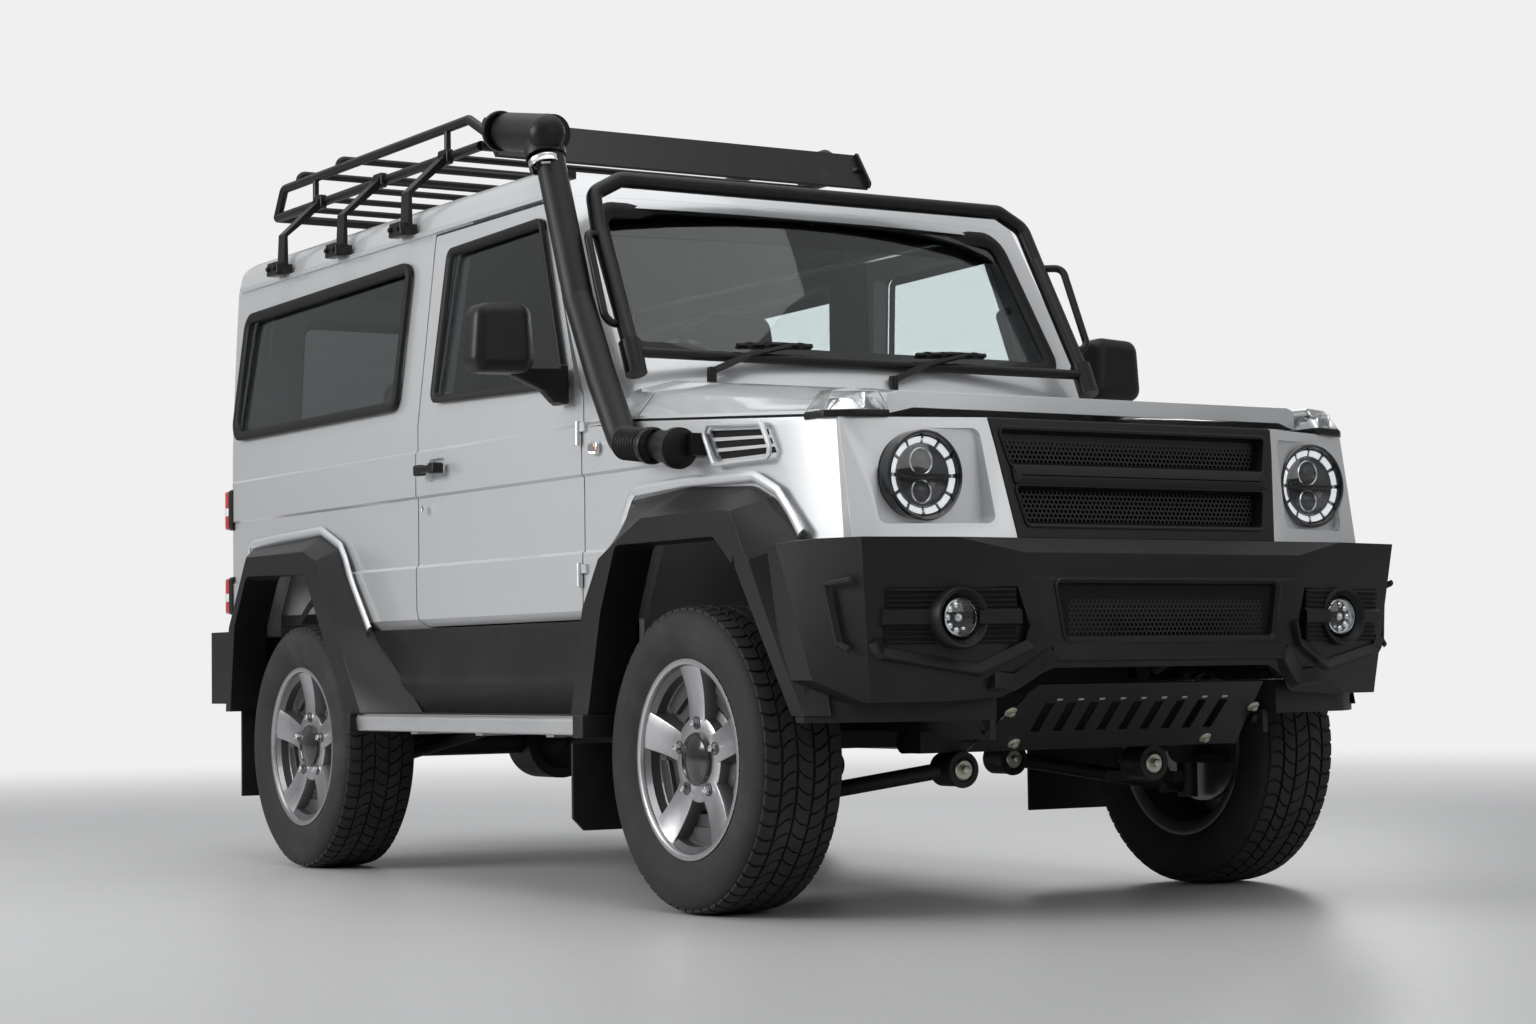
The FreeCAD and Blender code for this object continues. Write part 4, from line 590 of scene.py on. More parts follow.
def clearGlass(name, tint, rough=0.0, ior=1.45):
    # smooth tinted glass that lets the lamps through; a breath of haze varies its gloss
    f = Finish(name, {"Transmission Weight": 1.0, "IOR": ior, "Base Color": tint, "Metallic": 0.0})
    f.feed({"Roughness": f.between(f.noise(6, 4, 0.6), 0.5, 0.85) * 0.03 + rough})
    through = f.node("BsdfTransparent", None, {0: (*scaled(tint, 0.9), 1)})
    return f.blend(f.node("LightPath", out="Is Shadow Ray"), through)


def plainGloss(name, base, rough, metallic=0.0, coat=0.0, emission=None, speck=0.06):
    # moulded or plated part with slight gloss changes
    f = Finish(name, {"Metallic": metallic, "Coat Weight": coat, "Coat Roughness": 0.05})
    patch, fine = f.noise(30, 4, 0.6), f.noise(500, 2)
    if emission:
        f.feed({"Emission Color": emission, "Emission Strength": 1.0})
    return f.feed({
        "Base Color": f.mix(patch * 0.4, base, scaled(base, 0.85)),
        "Roughness": patch * speck + fine * 0.03 + rough,
        "Normal": f.bump(fine, 0.04, 0.0004),
    })


def wovenCloth(name, base, second):
    # plain weave on the piece's UV map: warp and weft threads cross at right angles
    f = Finish(name, {"Sheen Weight": 0.35, "Sheen Roughness": 0.5})
    uv = f.node("UVMap", {"uv_map": "cloth"})
    warp, weft = ((f.axis(name, uv) * 2600).join("SINE") * 0.5 + 0.5 for name in "XY")
    weave, patch = warp * weft, f.noise(9, 4, 0.6)
    return f.feed({
        "Base Color": f.mix(weave * 0.6 + patch * 0.3, base, second),
        "Roughness": weave * 0.1 + 0.8,
        "Normal": f.bump(weave, 0.4, 0.0008),
    })


paint = silverPaint()
trimBlack = grainedPlastic("trimBlack", (0.0058, 0.0060, 0.0066), 0.38, 1100, 0.28, 0.008, 0.06)
rubberBlack = grainedPlastic("sealRubber", (0.006, 0.006, 0.0065), 0.55, 500, 0.2, 0.006, 0.05)
cabinPlastic = grainedPlastic("cabinPlastic", (0.06, 0.06, 0.063), 0.6, 700, 0.4, 0.02, 0.0)
cabinLight = grainedPlastic("cabinLight", (0.20, 0.20, 0.195), 0.7, 500, 0.3, 0.02, 0.0)
# near-black finish for painted shade: sheets, plates and strips put in openings, gaps and behind meshes where
# only shade is seen
paintedShadeBlack = grainedPlastic("paintedShadeBlack", (0.002, 0.002, 0.002), 0.8, 300, 0.1, 0.001, 0.02)
headCloth = plainGloss("headCloth", (0.15, 0.15, 0.148), 0.72, speck=0.1)
tubeBlack = coatedTube("tubeBlack", (0.006, 0.006, 0.0066), 0.36)
meshBlack = coatedTube("meshBlack", (0.015, 0.015, 0.016), 0.4)
plateBlack = coatedTube("plateBlack", (0.006, 0.006, 0.0066), 0.34)
frameBlack = castMetal("frameBlack", (0.010, 0.010, 0.0105), 0.55, 0.1, 0.12)
ironGrey = castMetal("ironGrey", (0.07, 0.068, 0.066), 0.55, 0.6, 0.3)
rubberTyre = tyreRubber()
alloyFace = machinedAlloy("alloyFace", (0.50, 0.50, 0.51), 0.22)
alloyDark = plainGloss("alloyDark", (0.095, 0.097, 0.10), 0.34, 0.7, 0.3)
stepMetal = brushedMetal("stepMetal", (0.66, 0.67, 0.68), 0.28, (900, 4, 900))
exhaustSteel = brushedMetal("exhaustSteel", (0.38, 0.36, 0.33), 0.38, (900, 5, 900), 0.4)
discSteel = brushedMetal("discSteel", (0.45, 0.44, 0.43), 0.3, (300, 300, 300), 0.2)
boltZinc = plainGloss("boltZinc", (0.62, 0.60, 0.52), 0.3, 1.0, speck=0.2)
mirrorChrome = plainGloss("mirrorChrome", (0.9, 0.9, 0.91), 0.04, 1.0, speck=0.03)
lampSilver = plainGloss("lampSilver", (0.78, 0.79, 0.8), 0.12, 1.0, speck=0.1)
pianoBlack = plainGloss("pianoBlack", (0.01, 0.01, 0.011), 0.12, 0.0, 0.6)
lightWhite = plainGloss("lightWhite", (0.93, 0.94, 0.95), 0.25, 0.0, 0.2, (0.45, 0.46, 0.48))
lensWhite = plainGloss("lensWhite", (0.72, 0.72, 0.71), 0.14, 0.0, 0.5)
amberLens = plainGloss("amberLens", (0.85, 0.24, 0.02), 0.12, 0.0, 0.6)
redLens = plainGloss("redLens", (0.52, 0.012, 0.01), 0.1, 0.0, 0.8)
ribbedLens = clearGlass("ribbedLens", (0.94, 0.95, 0.95), 0.12, 1.4)
windowGlass = clearGlass("windowGlass", (0.44, 0.475, 0.475))
sunFilm = clearGlass("sunFilm", (0.10, 0.12, 0.12))
lampGlass = clearGlass("lampGlass", (0.96, 0.97, 0.98))
seatCloth = wovenCloth("seatCloth", (0.035, 0.035, 0.038), (0.085, 0.085, 0.09))
print("finishes made")


# frame nodes: a finish for each, and for panels a copy with rounded edges, by finish and width in metres

nodeLooks = [
    (frameBlack, "chassis_frame floor_pan front_suspension rear_axle"),
    (windowGlass, "fixed_glass door_glass_right door_glass_left tailgate_glass"),
    (lampGlass, "headlamp_lenses corner_lamps"), (pianoBlack, "fog_lamps headlamps"), (redLens, "tail_lamps"),
    (trimBlack, "mirror_right mirror_left"), (rubberBlack, "mudflaps"), (cabinPlastic, "seats"),
    (tubeBlack, "roof_rack rack_hoops screen_guard wipers spare_carrier"), (exhaustSteel, "exhaust"),
    (ironGrey, "engine_block drivetrain knuckle_right knuckle_left"),
    (alloyDark, "rim_front_right rim_front_left rim_rear_right rim_rear_left spare_rim"),
    (rubberTyre, "tyre_front_right tyre_front_left tyre_rear_right tyre_rear_left spare_tyre"),
]
softLooks = [
    (paint, "silver_paint", {
        "roof_panel": 0.004, "cowl_panel": 0.003, "side_panels": 0.003, "front_fenders": 0.003,
        "bonnet": 0.004,
        "door_right": 0.003, "door_left": 0.003, "tailgate": 0.003, "headlamp_surrounds": 0.005}),
    (trimBlack, "black_trim", {
        "grille": 0.004, "front_bumper": 0.006, "rear_bumper": 0.008, "fender_flares": 0.009,
        "sill_cladding": 0.006, "snorkel": 0.003}),
    (cabinPlastic, "cabin_plastic", {"dashboard": 0.008, "steering_wheel": 0.003}),
    (stepMetal, "aluminium", {"side_steps": 0.003}), (plateBlack, "black_tube", {"bash_plate": 0.0015}),
]
ownBodies = ("bonnet", "door_right", "door_left", "tailgate", "steering_wheel")
for finish, names in nodeLooks + [(finish, " ".join(widths)) for finish, slotName, widths in softLooks]:
    for name in names.split():
        nodes[name].data.materials.clear()
        nodes[name].data.materials.append(finish)
for finish, slotName, widths in softLooks:
    for name, width in widths.items():
        softCopy(name, finish, name if name in ownBodies else "body", width)
print("frame nodes finished")


# tyres

tyreSize = {"crown": 0.380, "tread": 0.0085, "deep": 0.006, "pitches": 62, "turns": 124}
# half of the section, rows (across, radius)
tyreSection = mm(-98, 236, -101, 246, -108, 256, -116.5, 268, -122.5, 288, -126.2, 312, -125.8, 330, -122.5,
                 346,
                 -116.5, 358, -108, 366.5, -94, 369.5, -60, 370.8, 0, 371.5)
# rows of blocks: two edges across, lean, wrap, share of the pitch and shift
treadRows = [(-0.106, -0.070, 0.12, -1, 0.80, 0.0), (-0.0625, -0.0270, 0.55, 1, 0.84, 0.3),
             (-0.0195, 0.0195, -0.55, 1, 0.86, 0.6), (0.0270, 0.0625, 0.55, -1, 0.84, 0.1),
             (0.070, 0.106, -0.12, 1, 0.80, 0.5)]


def sectionSurface(s):
    # point (x, r) at arc fraction s of the mirrored section, by straight interpolation
    full = np.concatenate([tyreSection, (tyreSection * [-1, 1])[-2::-1]])
    length = np.concatenate([[0], np.cumsum(np.linalg.norm(np.diff(full, axis=0), axis=1))])
    length /= length[-1]
    return np.interp(s, length, full[:, 0]), np.interp(s, length, full[:, 1])


def tyreWrap(x, r, angle, centre, out):
    # wheel coordinates to the car's: (x, r cos a, r sin a), x towards the wheel's outer side
    flat, rise = r * np.cos(angle), r * np.sin(angle)
    local = (flat, x * out[1], rise) if out[1] else (x * out[0], flat, rise)
    return np.stack(np.broadcast_arrays(*local), -1) + np.asarray(centre)


def treadBlocks(x0, x1, lean, wrap, share, shift, centre, out):
    # raised blocks: a 4 x 3 top patch over x0..x1 and one pitch, with a skirt down into the carcass
    pitches = tyreSize["pitches"]
    u, w = np.array([0, 0.33, 0.67, 1.0])[None, :, None], np.array([0, 0.5, 1.0])[None, None, :]
    k = np.arange(pitches)[:, None, None]
    a = (k + shift + 0.16 * np.sin(np.pi * u) * wrap + lean * u + share * (w - 0.5)) * 2 * np.pi / pitches
    x = x0 + (x1 - x0) * u + 0 * a
    r = tyreSize["crown"] - np.clip(np.abs(x) - 0.06, 0, 1) ** 2 * 3.4
    outer = tyreWrap(x, r, a, centre, out).reshape(pitches, 12, 3)
    inner = tyreWrap(x, r - tyreSize["tread"] - tyreSize["deep"], a, centre, out).reshape(pitches, 12, 3)
    ring = [0, 1, 2, 5, 8, 11, 10, 9, 6, 3]
    points = np.concatenate([outer, inner[:, ring]], 1)
    skirt = [[ring[i], ring[(i + 1) % 10], 12 + (i + 1) % 10, 12 + i] for i in range(10)]
    block = gridFaces(4, 3) + skirt + [[12 + i for i in range(9, -1, -1)]]
    oriented = outwards(points[0] - points[0].mean(0), block)[1]
    return points.reshape(-1, 3), [[v + 22 * i for v in f] for i in range(pitches) for f in oriented]


def wheelTyre(spot, centre, out, body, replaced):
    # carcass with two thin raised bands on each wall, and the tread
    x, r = sectionSurface(np.linspace(0, 1, 49))
    bands = (np.abs(r - 0.300) < 0.004) | (np.abs(r - 0.338) < 0.003)
    x = x + np.where(bands, 0.0016, 0.0) * np.sign(x)
    angle = np.arange(tyreSize["turns"])[:, None] / tyreSize["turns"] * 2 * np.pi
    rim = tyreWrap(x[None], r[None], angle, centre, out)
    parts = [outwards(rim.reshape(-1, 3), gridFaces(*rim.shape[:2], True, True))]
    parts += [treadBlocks(*row, centre, out) for row in treadRows]
    addPiece("tyreTread_" + spot, parts, rubberTyre, body, replaced, 30)


# rims and brakes

rimSize = {"lugRing": 0.090, "spokes": 5, "lift": 0.0006, "crest": 0.0755, "half": 0.036}
rimRings = [mm(247.5, 106, 247.5, 99, 240, 94, 226, 90, 222, 50, 206, 20, 206, -30, 222, -90, 240, -97, 247.5,
               -99,
               247.5, -106, 236, -106, 214, -94, 198, -30, 198, 20, 212, 50, 215, 84),
            mm(112, 46, 128, 40, 134, 30, 112, 26, 100, 28, 100, 46),
            mm(212, 60, 196, 50, 190, 36, 200, 30, 214, 30, 216, 60)]
rimLip = mm(247.5, 106, 239, 107, 233.5, 104.5, 230.5, 98.5, 229.5, 92, 231, 87, 240, 93.5, 247.5, 98)
rimHub = mm(0, 74, 60, 74, 62, 74.5, 98, 75.5, 106, 72, 109, 60, 109, 30, 0, 30)
rimCap = mm(0, 70, 66, 70, 66, 80, 63.5, 83.5, 58, 84.5, 56, 83, 40, 88.5, 20, 91.2, 0, 92)
lugSeat = mm(0, 0, 16.5, 0, 16.5, 3.5, 13.5, 3.5, 12, 1.5, 0, 1.5)
lugNut = mm(0, 1, 10.5, 1, 10.5, 14, 8, 18, 0, 19.5)
# stepped pocket floors: inner and outer radius, half widths outside and inside, depth
pockets = [(0.136, 0.213, 0.078, 0.046, 0.046), (0.168, 0.214, 0.066, 0.048, 0.058)]


def wheelRim(spot, centre, out, body, replaced):
    out3 = np.array([out[0], out[1], 0.0])
    centre = np.asarray(centre, float)

    def around(start, k):
        # outwards and across directions at the k-th spoke or pocket
        a = start + k * 2 * np.pi / rimSize["spokes"]
        radial = np.array([0, 0, 1.0]) * np.sin(a) + unit(np.cross(out3, [0, 0, 1.0])) * np.cos(a)
        return radial, np.cross(out3, radial)

    turned = [lathe(rimLip, centre, out3, 96), lathe(rimHub, centre, out3, 72)]
    dark, chrome = [lathe(profile, centre, out3, 72 - 12 * (i > 0)) for i, profile in enumerate(rimRings)], []
    # spoke: a trapezoid section carried outwards, with a dished crest
    r = np.linspace(0.085, 0.231, 9)
    t = (r - r[0]) / (r[-1] - r[0])
    crest = rimSize["crest"] + 0.020 * t ** 1.6 - 0.004 * np.sin(np.pi * t)
    half = rimSize["half"] + 0.012 * t ** 1.5
    side = np.stack([half + 0.013, half + 0.003, half, half - 0.002], 1)
    rise = np.stack([crest - 0.045, crest - 0.006, crest - 0.0008, crest], 1)
    section = np.stack([np.hstack([-side, side[:, ::-1]]), np.hstack([rise, rise[:, ::-1]])], -1)
    for k in range(rimSize["spokes"]):
        radial, across = around(np.pi / 2, k)
        points = centre + radial * r[:, None, None] + across * section[..., :1] + out3 * section[..., 1:]
        dark.append(capped(points))
        skin = points[:, 2:6] + out3 * rimSize["lift"]
        turned.append(capped(np.concatenate([skin, (skin - out3 * 2 * rimSize["lift"])[:, ::-1]], 1)))
        nut = centre + radial * rimSize["lugRing"] + out3 * 0.074
        dark.append(lathe(lugSeat, nut, out3, 24))
        chrome.append(lathe(lugNut, nut, out3, 6))
        radial, across = around(-np.pi / 2, k)
        for inner, outer, wide, narrow, depth in pockets:
            floor = rounded([(inner, -narrow), (outer * 0.985, -wide), (outer, 0), (outer * 0.985, wide),
                             (inner, narrow)], 0.006, 3)
            dark.append(slab(floor, depth - 0.012, depth, 0.002, 2, (radial, across, out3), centre))
    groups = [turned, dark, chrome, [lathe(rimCap, centre, out3)]]
    rim = addPiece("alloy_" + spot, groups, [alloyFace, alloyDark, lampSilver, pianoBlack], body,
                   replaced, 32)
    places = np.zeros(len(rim.data.vertices) * 3)
    rim.data.vertices.foreach_get("co", places)
    offset = places.reshape(-1, 3) - centre
    offset = offset - (offset @ out3)[:, None] * out3
    rim.data.attributes.new("turned", "FLOAT", "POINT").data.foreach_set(
        "value", np.linalg.norm(offset, axis=1))


# vented disc behind the spokes
discProfile = mm(70, -30, 156, -30, 156, -23, 75, -23, 75, -16, 156, -16, 156, -9, 70, -9, 68, 22, 50, 22, 50,
                 -30)
for corner in ("front_right", "front_left", "rear_right", "rear_left"):
    centre, out, body = (
        middle("tyre_" + corner), (-1 if corner.endswith("right") else 1, 0), "wheel_" + corner)
    wheelTyre(corner, centre, out, body, ["tyre_" + corner])
    wheelRim(corner, centre, out, body, ["rim_" + corner])
    addPiece("disc_" + corner, [lathe(discProfile, centre, (*out, 0), 64)], discSteel, body)
wheelTyre("spare", middle("spare_tyre"), (0, 1), "tailgate", ["spare_tyre"])
wheelRim("spare", middle("spare_tyre"), (0, 1), "tailgate", ["spare_rim"])
print("wheels made")


# headlamps, grille and bumper

lampLook = {
    "lens": 0.098, "segments": 12, "ring": mm(77, -12.5, 91, -8.5, 91, -5, 77, -8.5),
    "bezel": mm(107, -30, 107, 4, 104, 8, 98.5, 7, 96.5, 1, 95, -12, 95, -30),
    "shell": mm(95, -12, 91.5, -10, 76.5, -14, 73.5, -6, 70, -12, 52, -26, 0, -30, 0, -34, 95, -34),
    "dome": mm(94.5, -6, 94.5, -1, 80, 3.5, 55, 7.5, 28, 9.5, 0, 10, 0, 7.5, 28, 7, 55, 5, 80, 1, 92, -3, 92,
               -6),
    "wing": mm(-70, 4, -36, -4, 0, 3, 36, -4, 70, 4, 70, -6, 0, -9, -70, -6),
    "projectors": [(0.033, 0.034), (-0.037, 0.030)],
    "projector": mm(0, -2, 0, 14, -3, 15.5, -5.5, 13, -6.5, 0, -6.5, -2),
}


def makeHeadlamps():
    # bezel, white running ring in segments, two stacked projectors and a dark cross piece
    low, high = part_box("headlamp_lenses")
    x, y, z = centre = np.array([high.x - lampLook["lens"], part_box("headlamps")[0].y + 0.002,
                                 (low.z + high.z) / 2])
    black = [lathe(lampLook[key], centre, forwards, 72) for key in ("bezel", "shell")]
    white, chrome, dark, clear = [], [], [], []
    for k in range(lampLook["segments"]):
        a = np.pi / 12 + k * np.pi / 6 + np.linspace(-0.205, 0.205, 7)
        ring = np.stack([np.stack([x + r * np.cos(a), y - d + 0 * a, z + r * np.sin(a)], -1)
                         for r, d in lampLook["ring"]], 1)
        faces = gridFaces(7, 4, False, True) + [[0, 1, 2, 3], [27, 26, 25, 24]]
        white.append(outwards(ring.reshape(-1, 3), faces))
    for a in np.arange(4) * np.pi / 2:
        screw = (x + 0.084 * np.cos(a), y + 0.0115, z + 0.084 * np.sin(a))
        chrome.append(lathe(mm(0, 0, 4.2, 0, 4.2, 3, 3, 4.5, 0, 4.5), screw, forwards, 12))
    for rise, r in lampLook["projectors"]:
        spot = (x, y + 0.026, z + rise)
        chrome.append(lathe(lampLook["projector"] + (r, 0), spot, forwards, 40))
        dark.append(lathe([(0, 0.001), (r - 0.006, 0.001), (r - 0.006, 0.004), (0, 0.003)], spot, forwards,
                          32))
        clear.append(ball((x, y + 0.020, z + rise), r - 0.007, 32, 14, 0.55, forwards))
    dark.append(slab(rounded(lampLook["wing"] + (x, z), 0.0015, 2), -y - 0.020, -y + 0.002, 0.002, 2,
                     noseAxes))
    addPiece("headlampUnit", [black, white, chrome, dark, clear],
             [pianoBlack, lightWhite, lampSilver, trimBlack, lampGlass], "body", ["headlamps"],
             34, True)
    addPiece("headlampCover", [lathe(lampLook["dome"], centre, forwards, 72)], lampGlass, "body",
             ["headlamp_lenses"], 40, True)


def leaning(level):
    # (x, z) on the leaning nose, height forwards: y = nose + 0.18 * (z - bumper top) + level
    def put(flat, height):
        y = station(-0.716) + 0.18 * (flat[:, 1] - 0.897) + level - height
        return np.stack([flat[:, 0], y, flat[:, 1]], -1)
    return put


grilleLook = {"pitch": 0.0128, "wire": 0.0021, "set": 0.030, "openings": [
    mm(-386, 1074, 386, 1074, 408, 1156, -408, 1156), mm(-360, 933, 360, 933, 380, 1021, -380, 1021)]}


def makeGrille():
    openings, deep = grilleLook["openings"], grilleLook["set"]
    mesh = [hexMesh(insetLoop(o, 0.002), grilleLook["pitch"], 0.005, grilleLook["wire"], leaning(deep))
            for o in openings]
    addPiece("grilleMesh", mesh, meshBlack, crease=30)
    # near-black sheets behind the grille mesh: painted shade of the dark space behind the grille
    shadeSheets = [capped([leaning(deep + d)(insetLoop(o, 0.003), 0) for d in (0.0085, 0.0075)]) for o in openings]
    addPiece("grilleShadeSheet", shadeSheets, paintedShadeBlack)
    rim = mm(10, -1, 10, 3.5, 6.5, 5, 1, 2, -7, -26, -7, -32, 4, -32)
    trim = [band(rounded(o, 0.008, 4), rim, leaning(0)) for o in openings]
    bar = rounded(mm(-388, 1028, 388, 1028, 390, 1048, 392, 1067, -392, 1067, -390, 1048), 0.003, 2)
    trim.append(band(bar, mm(0, 0, 0, 6, -10, 10, -18.5, 10.2, -18.5, 0), leaning(0)))
    addPiece("grilleTrim", trim, trimBlack, crease=32)


makeHeadlamps()
makeGrille()
print("lamps and grille made")

bumperLook = {"slot": mm(-318, 661, 318, 661, 342, 794, -342, 794), "nose": station(-0.800),
              "fog": (0.586, 0.711), "pitch": 0.0125}


def noseSurface(flat, height):
    # (x, z) on the bumper's face: y follows its folded plan and the lean below z = 0.655
    x, z = np.abs(flat[:, 0]), flat[:, 1]
    rise = np.clip((z - 0.472) / 0.425, 0, 1)
    fold, deep = halfWidth - 0.042 + 0.047 * rise, 0.152 - 0.042 * rise
    plan = np.where(x < 0.372, x / 37.2, 0.010 + (x - 0.372) / (fold - 0.372) * (deep - 0.010))
    lean = np.interp(z, [0.472, 0.600, 0.655, 0.799, 0.805, 0.861, 0.897],
                     [0.110, 0.034, 0.0, 0.012, 0.020, 0.022, 0.060])
    return np.stack([flat[:, 0], bumperLook["nose"] + np.maximum(plan, lean) - height, z], -1)


def bumperSide(flat, height):
    # the bumper's slanted corner: x grows by 0.486 a metre backwards and 0.11 a metre upwards
    x = halfWidth + 0.035 + 0.486 * (flat[:, 0] - station(-0.597)) + 0.11 * (flat[:, 1] - 0.792)
    return outFrom(x, flat, height)


def ridgeLine(corners, width, proud):
    # moulded step on the bumper's face: one broad slope that looks upwards and a short return under it
    rows = [(-width - 0.006, -0.004), (-width - 0.004, 0.001), (-width, proud), (-width + 0.005, proud),
            (width, 0.001), (width, -0.004)]
    return ridge(corners, rows, noseSurface)


def makeBumperFace():
    slot = bumperLook["slot"]
    parts = [ridgeLine(mm(-357, 628, 357, 628), 0.019, 0.021)]
    parts += pair(ridgeLine(mm(355, 628, 398, 590, 440, 560, 500, 567), 0.019, 0.021))
    parts += pair(ridgeLine(mm(398, 700, 415, 648, 537, 592, 762, 632, 776, 660), 0.012, 0.014))
    parts.append(band(rounded(slot, 0.012, 4), mm(9, -4, 9, 3, 4, 5, -4, -3, -8, -20, 4, -20), noseSurface))
    notch = behind(-667, 798, -604, 790, -614, 700, -620, 654, -644, 640)
    parts += pair(ridge(notch, mm(-8, -3, -8, 1, -3, 6, 3, 6, 8, 1, 8, -3), bumperSide, 4))
    addPiece("bumperRidges", parts, trimBlack, crease=20)
    inside = lambda flat, height: noseSurface(flat, height - 0.018)
    cells = hexMesh(insetLoop(slot, 0.002), bumperLook["pitch"], 0.005, 0.0020, inside)
    addPiece("bumperMesh", [cells], meshBlack, crease=30)
    # near-black plate behind the slot mesh: painted shade of the dark space behind the slot
    origin = (0, bumperLook["nose"] + 0.026, 0)
    addPiece("bumperShadeSheet", [slab(insetLoop(slot, 0.004), 0, 0.003, 0.0005, 1, tailAxes, origin)],
             paintedShadeBlack)


def makeFogLamps():
    # recess fins, a wing-like bar through the bezel and a clear reflector lamp
    fogX, fogZ = bumperLook["fog"]
    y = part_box("fog_lamps")[0].y
    centre = (fogX, y, fogZ)
    trim = [lathe(mm(73, -30, 73, 10, 69, 16, 64, 15, 53, 0, 47, -10, 46, -30), centre, forwards, 56)]
    bowl = mm(45.5, -6, 45.5, 2, 43, 4, 41, 1, 34, -16, 18, -26, 0, -28, 0, -32, 45.5, -32)
    silver = [lathe(bowl, centre, forwards, 40), ball((fogX, y + 0.012, fogZ), 0.012, 18, 10, 1.2, forwards)]
    silver += [ball((fogX + dx, y + 0.010, fogZ + dz), 0.0085, 10, 6, 0.5, forwards)
               for dx, dz in ringPath(9, 0.030)]
    lens = mm(42.5, 1, 41, 3.5, 28, 7.5, 12, 9.5, 0, 10, 0, 7.5, 12, 7, 28, 5, 40, 1)
    fin = mm(-2.6, -36, -2.6, 1.5, -1, 3.5, 1, 3.5, 2.6, 1.5, 2.6, -36)
    # the near-black strips between the recess fins are painted shade
    gap, dark = mm(-6, -36, -6, 0.4, 6, 0.4, 6, -36), []
    for z in np.arange(0.656, 0.778, 0.0118):
        trim.append(ridge([(0.448, z), (0.754, z)], fin, noseSurface))
        dark.append(ridge([(0.446, z), (0.758, z)], gap, noseSurface))
    bar = mm(-20, -36, -20, 3, -15, 11, 13, 11, 20, 2, 20, -36)
    trim += [ridge([(x0, fogZ), (x1, fogZ)], bar, noseSurface, 3)
             for x0, x1 in ((0.438, 0.540), (0.632, 0.766))]
    addPiece("fogLampUnit", [trim, silver, [lathe(lens, centre, forwards, 40)], dark],
             [trimBlack, lampSilver, lampGlass, paintedShadeBlack], "body", ["fog_lamps"], 34, True)


makeBumperFace()
makeFogLamps()
print("bumper made")


# window seals: outline and corner radii of each opening

windowLook = {
    "door": (behind(740, 1372, 932, 1852, 1510, 1840, 1576, 1398), [0.018, 0.022, 0.03, 0.03]),
    "quarter": (behind(1830, 1398, 1772, 1838, 3070, 1818, 3138, 1400), [0.045, 0.045, 0.06, 0.06]),
    "screen": (mm(-716, 1452, 716, 1452, 684, 1880, -684, 1880), [0.05, 0.05, 0.06, 0.06]),
    "gate": (mm(-570, 1400, 570, 1400, 545, 1830, -545, 1830), [0.05, 0.05, 0.06, 0.06]),
}
sealProfile = mm(4, -12, 4, 1.5, 1, 3, -10, 0.5, -16, -5, -20, -14.5, -10, -14.5)
wideProfile = mm(4, -12, 4, 1.5, 0, 3, -20, 1.5, -26, -3, -29, -15.5, -15, -15.5)
screenProfile = mm(12, -10, 12, 4, 4, 7, -14, 4, -30, -2, -32, -14, -10, -14)


def seal(key, profile, place):
    outline, corners = windowLook[key]
    return band(rounded(outline, corners, 6), profile, place)


for name, part in zip(("door_left", "door_right"), pair(seal("door", sealProfile, sideWall))):
    addPiece("windowSeal_" + name, [part], rubberBlack, name, crease=40)
fixedSeals = pair(seal("quarter", wideProfile, sideWall)) + [seal("screen", screenProfile, frontGlass)]
addPiece("fixedSeals", fixedSeals, rubberBlack, crease=40)
gateSeal = seal("gate", wideProfile, lambda flat, height: np.insert(flat, 1, tailFace + height, axis=1))
addPiece("windowSeal_tailgate", [gateSeal], rubberBlack, "tailgate", crease=40)
print("window seals made")


# corner lamps, mirrors and door handles

def makeCornerLamps():
    # black plinth, tapered clear lens over a bright reflector, amber bulb and a divider
    inner, outer = halfWidth - 0.172, halfWidth - 0.024
    plan = rounded([(inner, station(-0.592)), (outer - 0.050, station(-0.568)), (outer, station(-0.520)),
                    (outer, station(-0.430)), (inner, station(-0.430))], 0.012, 4)
    low, high = (corner.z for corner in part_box("corner_lamps"))
    foot, anchor = low + 0.017, np.array([inner + 0.02, station(-0.46)])

    def level(share, inset):
        # loops draw in towards the top, most at the front and the outer side
        flat = anchor + (insetLoop(plan, -inset) - anchor) * (1 - 0.30 * share)
        return np.insert(flat, 2, foot + (high - foot) * share, axis=1)

    lens = capped([level(s, d) for s, d in ((1.0, 0.014), (0.97, 0.006), (0.88, 0.002), (0, 0.002),
                                            (0, 0.005), (0.84, 0.005), (0.90, 0.012))])
    reflector = capped([level(s, d) for s, d in ((0.02, 0.022), (0.30, 0.030), (0.62, 0.046))])
    rib = brick((outer - 0.088, station(-0.570), foot + 0.001),
                (outer - 0.084, station(-0.480), high - 0.012),
                0.0008, 0.001)
    bulb = ball((outer - 0.085, station(-0.500), foot + 0.022), 0.010, 18, 10, 1.3, (0.4, -0.8, 0.3))
    addPiece("cornerLamps", [[slab(plan, low, foot, 0.003)], [lens], [reflector, rib], [bulb]],
             [trimBlack, ribbedLens, lampSilver, amberLens], "body", ["corner_lamps"], 34, True)


lockProfile = mm(0, 0, 11.5, 0, 11.5, 1.5, 8.5, 2.5, 7.8, 1, 0, 1)


